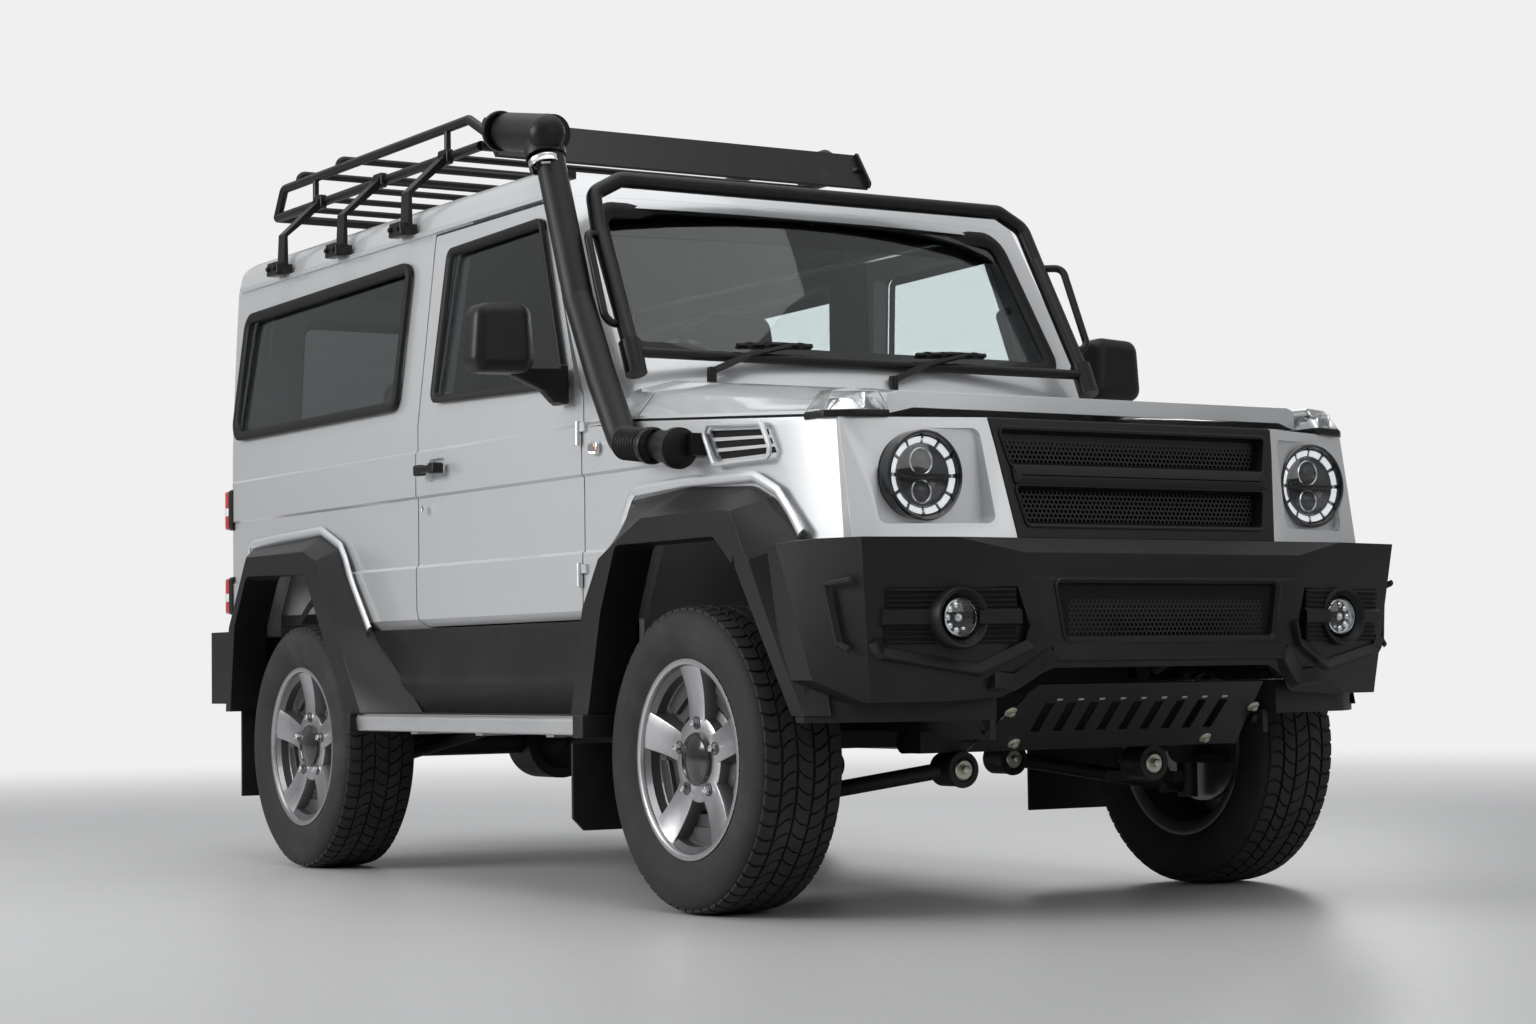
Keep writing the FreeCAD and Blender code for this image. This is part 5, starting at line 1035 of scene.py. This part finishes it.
def makeMirrors():
    # rounded head with a chamfered face, mirror glass, tapered arm and foot, and the door handle and lock
    hinge, grip, lockY = station(0.660), station(1.690), station(1.621)
    head = rounded(mm(101, 1394, 290, 1391, 276, 1576, 115, 1584) + (halfWidth, 0), 0.040, 7)
    trim = [capped([np.insert(insetLoop(head, -d), 1, hinge + y, axis=1) for d, y in mm(
        34, 6, 26, 6.5, 9, 17, 3, 23, 0, 34, 0, 80, 2, 87, 6, 90, 10, 90, 12, 84)])]
    pane = slab(insetLoop(head, -0.013), 0, 0.003, 0.001, 2, noseAxes, (0, hinge + 0.087, 0))
    arm = rounded(mm(165, 1410, 2, 1416, -4, 1322, 30, 1320, 62, 1352, 165, 1396) + (halfWidth, 0), 0.007, 4)
    trim.append(slab(arm, hinge + 0.050, hinge + 0.086, 0.006, 3, tailAxes))
    foot = rounded(mm(46, 1318, 116, 1318, 110, 1420, 52, 1426) + (hinge, 0), 0.008, 4)
    trim.append(slab(foot, halfWidth - 0.012, halfWidth + 0.010, 0.004, 3, sideAxes))
    trim.append(lathe(mm(13, -4, 20, -4, 20, 6, 13, 6), (halfWidth + 0.132, hinge + 0.068, 1.392), upwards,
                      24))
    strap = rounded(mm(-205, 1188, -80, 1187, -80, 1208, -205, 1209) + (grip, 0), 0.003, 3)
    trim.append(slab(strap, halfWidth + 0.006, halfWidth + 0.026, 0.004, 3, sideAxes))
    for rear, front, high in ((0.216, 0.178, 0.030), (0.100, 0.062, 0.022)):
        end = rect(grip - rear, 1.182, grip - front, 1.214, 0.006)
        trim.append(slab(end, halfWidth - 0.006, halfWidth + high, 0.005, 3, sideAxes))
    trim.append(brick((halfWidth - 0.0075, lockY - 0.001, 1.081), (halfWidth - 0.0065, lockY + 0.001, 1.091),
                      0.0002, 0.0003))
    groups = [trim, [pane], [lathe(lockProfile, (halfWidth - 0.008, lockY, 1.086), sideways, 24)]]
    for name, turn in (("right", flipX), ("left", lambda part: part)):
        addPiece("mirrorAndHandle_" + name, [[turn(part) for part in group] for group in groups],
                 [trimBlack, mirrorChrome, lampSilver], "door_" + name, ["mirror_" + name], 34)


makeCornerLamps()
makeMirrors()
print("corner lamps, mirrors and handles made")


# fender vents, repeaters and arch lips

ventLook = {"outline": behind(-57, 1112, -6, 1196, -269, 1180, -312, 1112), "face": 0.004,
            "rim": mm(10, -6, 10, 0.5, 6, 3.5, 1, 3.5, -3, 0.5, -3, -6),
            "slots": [(0.06, 0.28), (0.39, 0.61), (0.72, 0.94)]}


def makeVents():
    rim = insetLoop(rounded(ventLook["outline"], 0.012, 4), 0.006)
    face = lambda flat, height: outFrom(halfWidth - ventLook["face"], flat, height)
    slotShades = []
    # near-black plates deep in the vent slots: painted shade in the slot openings
    for low, high in ventLook["slots"]:
        edge = [(station(-0.057 + 0.051 * f), 1.112 + 0.084 * f) for f in (low, high)]
        edge += [(station(-0.312 + 0.043 * f), 1.112 + 0.068 * f) for f in (high, low)]
        slotShades.append(slab(insetLoop(edge, -0.0008), halfWidth - 0.031, halfWidth - 0.0285, 0.0003, 1,
                          sideAxes))
    addPiece("fenderVents", [[band(rim, ventLook["rim"], face)], slotShades], [paint, paintedShadeBlack], "body",
             crease=34, both=True)


def makeRepeaters():
    # small side lamp: pale rim, clear lens and an amber bulb seen through it
    spot, x = behind(545, 1172, 590, 1174, 590, 1207, 545, 1206), halfWidth - 0.008
    rim = slab(rounded(spot, 0.009, 4), x - 0.004, x + 0.005, 0.002, 2, sideAxes)
    lens = slab(rounded(insetLoop(spot, -0.004), 0.006, 4), x + 0.002, x + 0.010, 0.004, 3, sideAxes)
    bulb = ball((x + 0.006, station(0.566), 1.190), 0.0105, 16, 8, 0.34, sideways)
    addPiece("sideRepeaters", [[rim], [lens], [bulb]], [lampSilver, lampGlass, amberLens], "body",
             crease=34, both=True)


def makeArchLips():
    # soft pressed band above each flare
    rows = mm(-13, -4, -13, 0, -6, 4.5, 5, 5.2, 13, 0, 13, -4)
    front = behind(420, 985, 376, 1046, 352, 1063, 104, 1072, -233, 1065, -338, 1022, -452, 915)
    rear = mm(-405, 738, -172, 1004, -26, 1058, 300, 1050, 572, 1040, 618, 764) + (station(wheelbase), 0)
    addPiece("archLips", [ridge(lip, rows, sidePlane, 6) for lip in (front, rear)], paint, "body",
             crease=50, both=True)


# snorkel ribs, clamp and mouth

def makeSnorkelTrim():
    radius = 0.041
    x, high = halfWidth + radius + 0.002, halfWidth - gutterIn + radius + 0.022
    root, turn = np.array([-x, station(0.040), 1.150]), np.array([-x, station(0.345), 1.186])
    knee, end = np.array([-high - 0.012, station(0.612), 1.590]), np.array([-high, station(0.795), 2.010])
    ahead, up = unit(turn - root), unit(end - knee)
    headAxis = unit(np.array([0, 0.280, 0.052]))
    mouth, top = np.array([-high, station(1.050), 2.112]), end - up * 0.036
    rib = mm(-2, -4, 0.8, -3, 2.8, 0, 0.8, 3, -2, 4) + (radius, 0)
    black = [lathe(rib, root + ahead * (0.150 + 0.014 * k), ahead, 36) for k in range(9)]
    black += [lathe(profile, spot, axis, turns) for profile, spot, axis, turns in (
        (mm(0, -16, 40, -16, 52, -12, 52, 6, 46, 12, 40.5, 14, 0, 14), root, ahead, 40),
        (mm(40.5, -12, 46, -11, 47.5, -8, 47.5, 8, 46, 11, 40.5, 12), root + ahead * 0.130, ahead, 40),
        (mm(44, -12, 48.5, -12, 49.5, -8, 49.5, 28, 47, 32, 44, 32), end - up * 0.002, up, 48),
        (mm(50, -12, 56.2, -12, 57, -8, 57, 0, 55, 3, 50, 3), mouth, headAxis, 48))]
    black.append(ball((-high, station(0.770), 2.060), 0.0535, 40, 20, 0.75, headAxis))
    clamp = mm(40.5, -10, 44.5, -10, 44.8, -6, 44, -4, 44, 4, 44.8, 6, 44.5, 10, 40.5, 10)
    silver = [lathe(clamp, top, up, 48),
              rod(top + (-0.030, -0.036, -0.004), top + (-0.010, -0.052, -0.004), 0.004, 10, 0.0008)]
    # near-black disc just inside the mouth: painted shade of the tube's dark inside
    inside = lathe(mm(0, 0.5, 49.5, 0.5, 49.5, 1.5, 0, 1.5), mouth, headAxis, 40)
    addPiece("snorkelTrim", [black, silver, [inside]], [trimBlack, lampSilver, paintedShadeBlack], crease=36)


# wipers

def makeWipers():
    parts, lean = [], (0, -0.86, 0.5)
    arm, beam = mm(-8.5, -6, -7, 6, 7, 6, 8.5, -6), mm(-6.5, -4, -4, 5, 4, 5, 6.5, -4)
    blade, drop = mm(-3.5, -8, -3.5, 1, 3.5, 1, 3.5, -8), (0, 0.004, -0.003)
    for x in (-0.525, 0.062):
        foot = np.array([x, station(0.458), 1.346])
        hub, knee, tip, low, high = (np.array(p) for p in (
            foot + (0, 0, 0.050), (x + 0.120, station(0.462), 1.446), (x + 0.262, station(0.478), 1.478),
            (x + 0.092, station(0.476), 1.472), (x + 0.345, station(0.497), 1.483)))
        boss = mm(0, 0, 19, 0, 19, 10, 16, 14, 13.5, 16, 13.5, 52, 12, 60, 0, 63)
        parts += [lathe(boss, foot, upwards, 28), carry(arm, [hub, hub + (knee - hub) * 0.5, knee], lean),
                  carry(arm * 0.72, [knee - (tip - knee) * 0.05, (knee + tip) / 2, tip], lean),
                  carry(beam, [low, (low + high) / 2 + (0, 0, 0.004), high], lean),
                  carry(blade, [low + drop, high + drop], lean)]
        for share in (0.16, 0.38, 0.62, 0.84):
            spot = low + (high - low) * share
            parts.append(brick(spot - (0.010, 0.006, 0.007), spot + (0.010, 0.006, 0.009), 0.002, 0.003))
    addPiece("wiperSet", parts, trimBlack, "body", ["wipers"], 34)


# roof rack fittings, side step ends and skid plate bolts

def makeRackFittings():
    parts, x = [], halfWidth - gutterIn
    for y in (station(1.810), station(2.290), station(2.770)):
        foot = rounded(mm(-46, 1918, 46, 1918, 38, 1962, -38, 1962) + (y, 0), 0.006, 3)
        gusset = rect(y - 0.034, 2.150, y + 0.034, 2.196, 0.010, 4)
        parts += [slab(foot, x + 0.004, x + 0.038, 0.004, 3, sideAxes),
                  slab(gusset, 0.640, 0.664, 0.004, 3, sideAxes)]
        for side in (-1, 1):
            parts += hexBolt((x + 0.038, y + side * 0.026, 1.941), sideways, 0.014, 0.008)
            parts += hexBolt((0.664, y + side * 0.018, 2.173), sideways, 0.013, 0.007)
    web = rounded(behind(1450, 2112, 1545, 2236, 1515, 2250, 1438, 2140), 0.012, 5)
    parts.append(slab(web, 0.656, 0.664, 0.0025, 2, sideAxes))
    addPiece("rackFittings", parts, tubeBlack, "body", crease=34, both=True)


def makeStepTrim():
    # end caps and tread strips
    x, top, low, high = halfWidth + 0.115, 0.486, station(0.420), station(1.930)
    parts = [slab(rect(y0, top - 0.058, y1, top + 0.003, 0.006), x - 0.152, x + 0.002, 0.005, 3, sideAxes)
             for y0, y1 in ((low - 0.004, low + 0.052), (high - 0.052, high + 0.004))]
    for across in x - 0.134 + 0.0145 * np.arange(9):
        parts.append(brick((across - 0.0035, low + 0.054, top - 0.001),
                           (across + 0.0035, high - 0.054, top + 0.0022),
                           0.001, 0.002))
    addPiece("stepTrim", parts, trimBlack, crease=34, both=True)


def makePlateBolts():
    tilt = math.radians(39)
    ahead, normal = (
        np.array([0, math.cos(tilt), -math.sin(tilt)]), np.array([0, -math.sin(tilt), -math.cos(tilt)]))
    base, parts = np.array([0, station(-0.722), 0.552]), []
    for x, w in ((-0.376, 0.098), (0.376, 0.098), (-0.298, 0.220), (0.298, 0.220)):
        spot = base + ahead * w + (x, 0, 0)
        parts.append(lathe(mm(8, -1, 16, -1, 16, 2, 14, 3.5, 8, 3.5), spot, normal, 28))
        parts += hexBolt(spot + normal * 0.003, normal, 0.015, 0.009)
    for x in np.linspace(-0.255, 0.255, 9):
        outline = rounded(mm(-8, 52, 10, 52, 7, 59, -7, 59) + (x, 0), 0.002, 2)
        parts.append(slab(outline, 0, 0.002, 0.0005, 1, (sideways, ahead, normal), base))
    addPiece("plateBolts", parts, boltZinc, "body", crease=34)


for make in (makeVents, makeRepeaters, makeArchLips, makeSnorkelTrim, makeWipers, makeRackFittings,
             makeStepTrim,
             makePlateBolts):
    make()
print("outside fittings made")


# underside: springs, dampers, bushes and bolts

def makeUnderside():
    front, rear = station(0), station(wheelbase)
    black = [coil((0.5415, front, 0.318), (0.4785, front, 0.770), 0.058, 0.0075, 7.5),
             coil((0.500, rear + 0.010, 0.430), (0.500, rear + 0.010, 0.740), 0.060, 0.008, 6.5),
             rod((0.590, rear - 0.060, 0.330), (0.560, rear - 0.010, 0.560), 0.026, 24, 0.003),
             rod((0.560, rear - 0.010, 0.560), (0.545, rear + 0.015, 0.720), 0.019, 24, 0.003)]
    bright = []
    for y in (front - 0.340, front + 0.260):
        spot = (0.300, y, 0.345)
        black.append(lathe(mm(30, -3, 44.5, -3, 45.5, 2, 44.5, 8, 30, 8), spot, forwards, 36))
        bright.append(lathe(mm(10, 0, 26, 0, 26, 8, 22, 11, 10, 11), spot, forwards, 30))
        bright += hexBolt((0.300, y - 0.011, 0.345), forwards, 0.021, 0.014)
    addPiece("undersideFittings", [black, bright], [frameBlack, boltZinc], "body", crease=36,
             both=True)


# headliner, inner pillars, sun band and inner mirror

cabinLook = {"across": [0, 0.30, 0.50, 0.60, 0.65, 0.68, 0.70], "top": 1.999,
             "roof": [1.999, 1.994, 1.985, 1.979, 1.975, 1.958, 1.924],
             "along": [0.93, 1.05, 1.20, 1.60, 2.10, 2.60, 2.85, 3.00, 3.12],
             "drop": [0.072, 0.025, 0, 0, 0, 0, 0.006, 0.036, 0.086]}


def makeCabinLining():
    half, roof = np.array(cabinLook["across"]), np.array(cabinLook["roof"])
    x, skin = np.concatenate([-half[:0:-1], half]), np.concatenate([roof[:0:-1], roof])
    loops = []
    for along, drop in zip(cabinLook["along"], cabinLook["drop"]):
        z = np.minimum(skin, cabinLook["top"] - drop) - 0.005
        y = np.full(len(x), station(along))
        loops.append(np.concatenate([np.stack([x, y, z], 1), np.stack([x, y, z - 0.003], 1)[::-1]]))
    liner = [capped(loops)]
    # strips on the leaning inner wall: x falls by 73 mm per metre of height above z = 1.30
    axes = ((0, 1, 0), unit(np.array([-0.0733, 0, 1.0])), unit(np.array([1.0, 0, 0.0733])))
    for strip in (behind(1600, 0, 1815, 0, 1762, 600, 1545, 600),
                  behind(1762, 555, 3060, 540, 3060, 600, 1762, 600)):
        liner += pair(slab(rounded(strip, 0.006, 2), -0.006, -0.003, 0.0008, 1, axes, (0.753, 0, 1.30)))
    card = rect(station(1.780), 0.800, station(3.100), 1.340, 0.02, 4)
    liner += pair(slab(card, 0.745, 0.750, 0.001, 1, sideAxes))
    addPiece("cabinLining", liner, headCloth, "body", crease=40)
    depths = np.array([-0.012, -0.012, -0.010, -0.010])
    film = [frontGlass(np.array([(x, 1.800), (x, 1.872), (x, 1.872), (x, 1.800)]), depths)
            for x in np.linspace(-0.655, 0.655, 25)]
    addPiece("sunBand", [capped(film)], sunFilm, "body", crease=40)
    y = station(0.800)
    head = brick((-0.112, y - 0.012, 1.764), (0.112, y + 0.006, 1.824), 0.006, 0.018)
    stalk = rod((0, y - 0.006, 1.815), (0, y - 0.030, 1.868), 0.007, 14)
    pane = brick((-0.104, y + 0.0055, 1.771), (0.104, y + 0.0075, 1.817), 0.0008, 0.014)
    grab = bentTube([(0.702, station(0.690), 1.470), (0.655, station(0.692), 1.482),
                     (0.655, station(0.765), 1.642),
                     (0.702, station(0.782), 1.655)], 0.012, 0.022)
    addPiece("cabinFittings", [[head, stalk], [pane], [grab]], [cabinPlastic, mirrorChrome, cabinLight],
             "body",
             crease=36)


# tail lamps, tailgate handle and lock

def makeTailLamps():
    # black base, rounded red lens with a pale middle band and fine ribs, two a side
    low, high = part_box("tail_lamps")
    x0, x1, y0, y1 = high.x - 0.096, high.x - 0.002, low.y + 0.002, high.y - 0.002
    base, red, pale = [], [], []
    for z0, z1 in ((low.z, low.z + 0.133), (high.z - 0.143, high.z)):
        outline, centre = rect(x0, z0 + 0.002, x1, z1 - 0.002, 0.012, 4), z0 + (z1 - z0) * 0.46
        strip = rect(x0 + 0.007, centre - 0.014, x1 - 0.003, centre + 0.014, 0.003, 2)
        base.append(slab(outline, y0, y0 + 0.034, 0.003, 2, tailAxes))
        red.append(slab(insetLoop(outline, -0.004), y0 + 0.030, y1 - 0.002, 0.012, 4, tailAxes))
        pale.append(slab(strip, y0 + 0.032, y1 - 0.001, 0.012, 4, tailAxes))
        red += [slab(rect(x - 0.0012, z0 + 0.016, x + 0.0012, z1 - 0.016, 0.0008, 1), y1 - 0.006, y1 - 0.0008,
                     0.0004, 1, tailAxes) for x in np.linspace(x0 + 0.020, x1 - 0.014, 8)]
    addPiece("tailLampUnit", [base, red, pale], [trimBlack, redLens, lensWhite], "body",
             ["tail_lamps"],
             34, True)


handleLook = {"x": 0.585, "z": 1.215, "length": 0.125, "grip": 0.021}


def makeTailgateHandle():
    # grip between two feet, across the free side of the tailgate, and a round lock under it
    x, z, half, thin = handleLook["x"], handleLook["z"], handleLook["length"] / 2, handleLook["grip"] / 2
    trim = [slab(rect(x - half, z - thin, x + half, z + thin, 0.004), tailFace + 0.014, tailFace + 0.032,
                 0.004, 3,
                 tailAxes)]
    trim += [slab(rect(a - 0.016, z - 0.016, a + 0.016, z + 0.016, 0.006), tailFace - 0.002, tailFace + 0.026,
                  0.005,
                  3, tailAxes) for a in (x - half, x + half)]
    lock = lathe(mm(0, 0, 11.5, 0, 11.5, 2.5, 8.5, 3.5, 7.8, 2, 0, 2), (x, tailFace - 0.0005, z - 0.062),
                 (0, 1, 0), 24)
    addPiece("tailgateHandle", [trim, [lock]], [trimBlack, lampSilver], "tailgate", crease=34)


makeUnderside()
makeCabinLining()
makeTailLamps()
makeTailgateHandle()


# seats

seatLook = {"front": (station(1.120), 0.756, 0.500), "rear": (station(1.880), 0.800, 1.060)}


def makeSeat(x, y, floor, width, heads):
    # base cushion, side bolsters, backrest leaning by 13 degrees and headrests
    half, lean = width / 2, 0.225
    channels = np.arange(-half + 0.10, half - 0.05, 0.10)
    parts = [pillow((x, y + 0.250, floor + 0.165), (half - 0.030, 0.245, 0.075), 0.30, 22, 44, 0.04, 0.10,
                    channels),
             pillow((x, y + 0.600, floor + 0.510), (half - 0.030, 0.050, 0.300), 0.30, 26, 44, -lean, 0.04)]
    for dx in (-half + 0.045, half - 0.045):
        parts.append(pillow((x + dx, y + 0.250, floor + 0.180), (0.042, 0.240, 0.085), 0.40, 16, 28, 0.04))
        parts.append(pillow((x + dx, y + 0.585, floor + 0.490), (0.040, 0.066, 0.270), 0.40, 20, 28, -lean))
    return parts + [pillow((x + dx, y + 0.672, floor + 0.895), (0.120, 0.042, 0.088), 0.42, 18, 32, -lean)
                    for dx in heads]


def makeSeats():
    soft, hard = [], []
    y, floor, width = seatLook["front"]
    for x in (-0.370, 0.370):
        soft += makeSeat(x, y, floor, width, (0,))
        hard.append(brick((x - 0.215, y + 0.020, floor - 0.010), (x + 0.215, y + 0.470, floor + 0.085), 0.015,
                          0.03))
        hard += [brick((x + dx - 0.020, y + 0.030, 0.637), (x + dx + 0.020, y + 0.440, floor), 0.004)
                 for dx in (-0.18, 0.18)]
    back, bench, width = seatLook["rear"]
    soft += makeSeat(0, back, bench, width, (-0.270, 0.270))
    hard.append(brick((-0.50, back + 0.020, bench + 0.001), (0.50, back + 0.470, bench + 0.085), 0.015, 0.03))
    # headrest posts
    posts = [(x + dx, y, floor) for x in (-0.370, 0.370) for dx in (-0.06, 0.06)]
    posts += [(x, back, bench) for x in (-0.33, -0.21, 0.21, 0.33)]
    hard += [rod((a, b + 0.645, c + 0.780), (a, b + 0.662, c + 0.860), 0.006, 12) for a, b, c in posts]
    seats = addPiece("seatCushions", soft, seatCloth, "body", ["seats"], 60)
    mesh = seats.data
    corners = np.zeros(len(mesh.loops), int)
    mesh.loops.foreach_get("vertex_index", corners)
    spots = np.concatenate([part[0] for part in soft])[corners]
    spread = np.stack([spots[:, 0] + spots[:, 1] * 0.3, spots[:, 1] * 0.7 + spots[:, 2]], 1)
    mesh.uv_layers.new(name="cloth").data.foreach_set("uv", spread.ravel())
    addPiece("seatFrames", hard, cabinPlastic, "body", crease=34)


makeSeats()
print("seats made")


# stage, lamps and camera

wallWhite = (0.87, 0.87, 0.88, 1)


def makeStage():
    # concrete floor that fades into the bright wall with distance
    points, faces = slab(ringPath(96, 60.0), -0.02, 0.0, 0.0, 1)
    mesh = bpy.data.meshes.new("studioFloor")
    mesh.from_pydata(points.tolist(), [], faces)
    f = Finish("studioConcrete", {"Metallic": 0.0})
    cloud, fine = f.noise(0.7, 6, 0.62), f.noise(38, 5, 0.6)
    away = f.node("VectorMath", {"operation": "LENGTH"}, {0: f.place}, "Value")
    f.feed({
        "Base Color": f.mix(cloud * 0.5 + fine * 0.35, (0.56, 0.56, 0.56), (0.44, 0.44, 0.445)),
        "Roughness": cloud * 0.12 + fine * 0.07 + 0.27,
        "Normal": f.bump(fine, 0.05, 0.002),
    })
    seen = f.node("LightPath", out="Is Camera Ray")
    glow = f.node("Emission", None, {0: wallWhite, 1: 1.0})
    mesh.materials.append(f.blend(f.between(away, 3.5, 13.0) * seen, glow))
    newObject("studioFloor", mesh)


def makeWorld():
    # the camera sees a white wall; reflections see a room that brightens upwards
    world = bpy.data.worlds.new("studio")
    bpy.context.scene.world = world
    world.use_nodes = True
    tree = world.node_tree
    tree.nodes.clear()
    look = addNode(tree, "TexCoord").outputs["Generated"]
    rise = addNode(tree, "SeparateXYZ", None, {0: look}).outputs["Z"]
    values = {"Value": rise, "From Min": -0.1, "From Max": 0.75, "To Min": 0.19, "To Max": 0.68}
    ramp = addNode(tree, "MapRange", {"interpolation_type": "SMOOTHSTEP"}, values).outputs[0]
    room = addNode(tree, "Background", None, {0: (0.97, 0.985, 1.0, 1), 1: ramp}).outputs[0]
    wall = addNode(tree, "Background", None, {0: wallWhite, 1: 1.0}).outputs[0]
    seen = addNode(tree, "LightPath").outputs["Is Camera Ray"]
    both = addNode(tree, "MixShader", None, {0: seen, 1: room, 2: wall}).outputs[0]
    addNode(tree, "OutputWorld", None, {0: both})


def putAt(name, data, place, turn):
    holder = newObject(name, data)
    holder.location, holder.rotation_mode, holder.rotation_quaternion = place, "QUATERNION", turn
    return holder


def softLamp(name, spot, aim, size, power):
    lamp = bpy.data.lights.new(name, "AREA")
    lamp.shape, lamp.size, lamp.size_y, lamp.energy = "RECTANGLE", size[0], size[1], power
    putAt(name, lamp, spot, (Vector(aim) - Vector(spot)).to_track_quat("-Z", "Y"))


cameraLook = {"place": (-4.543, -7.596, 0.590), "yaw": 31.943, "pitch": 3.125, "roll": -0.82, "lens": 69.0}


def makeCamera():
    yaw, pitch, roll = (math.radians(cameraLook[k]) for k in ("yaw", "pitch", "roll"))
    ahead = Vector((math.sin(yaw) * math.cos(pitch), math.cos(yaw) * math.cos(pitch), math.sin(pitch)))
    right = Vector((math.cos(yaw), -math.sin(yaw), 0))
    up = right.cross(ahead)
    x = right * math.cos(roll) + up * math.sin(roll)
    y = up * math.cos(roll) - right * math.sin(roll)
    data = bpy.data.cameras.new("studioCamera")
    data.lens, data.sensor_width, data.clip_end = cameraLook["lens"], 36.0, 200.0
    turn = Matrix((x, y, -ahead)).transposed().to_quaternion()
    bpy.context.scene.camera = putAt("studioCamera", data, cameraLook["place"], turn)


makeStage()
makeWorld()
softLamp("overhead", (-0.8, -0.4, 5.6), (0, 0, 0.8), (6.5, 4.5), 110)
softLamp("sideBox", (-7.0, 0.8, 3.2), (0, 0, 1.0), (5.0, 2.5), 365)
softLamp("frontBox", (1.5, -8.0, 3.0), (0, 0, 1.0), (5.0, 2.2), 42)
softLamp("rearBox", (5.5, 5.5, 3.5), (0, 0, 1.0), (4.0, 2.5), 100)
makeCamera()
bpy.context.scene.view_settings.view_transform = "Standard"
print("stage, lamps and camera made")
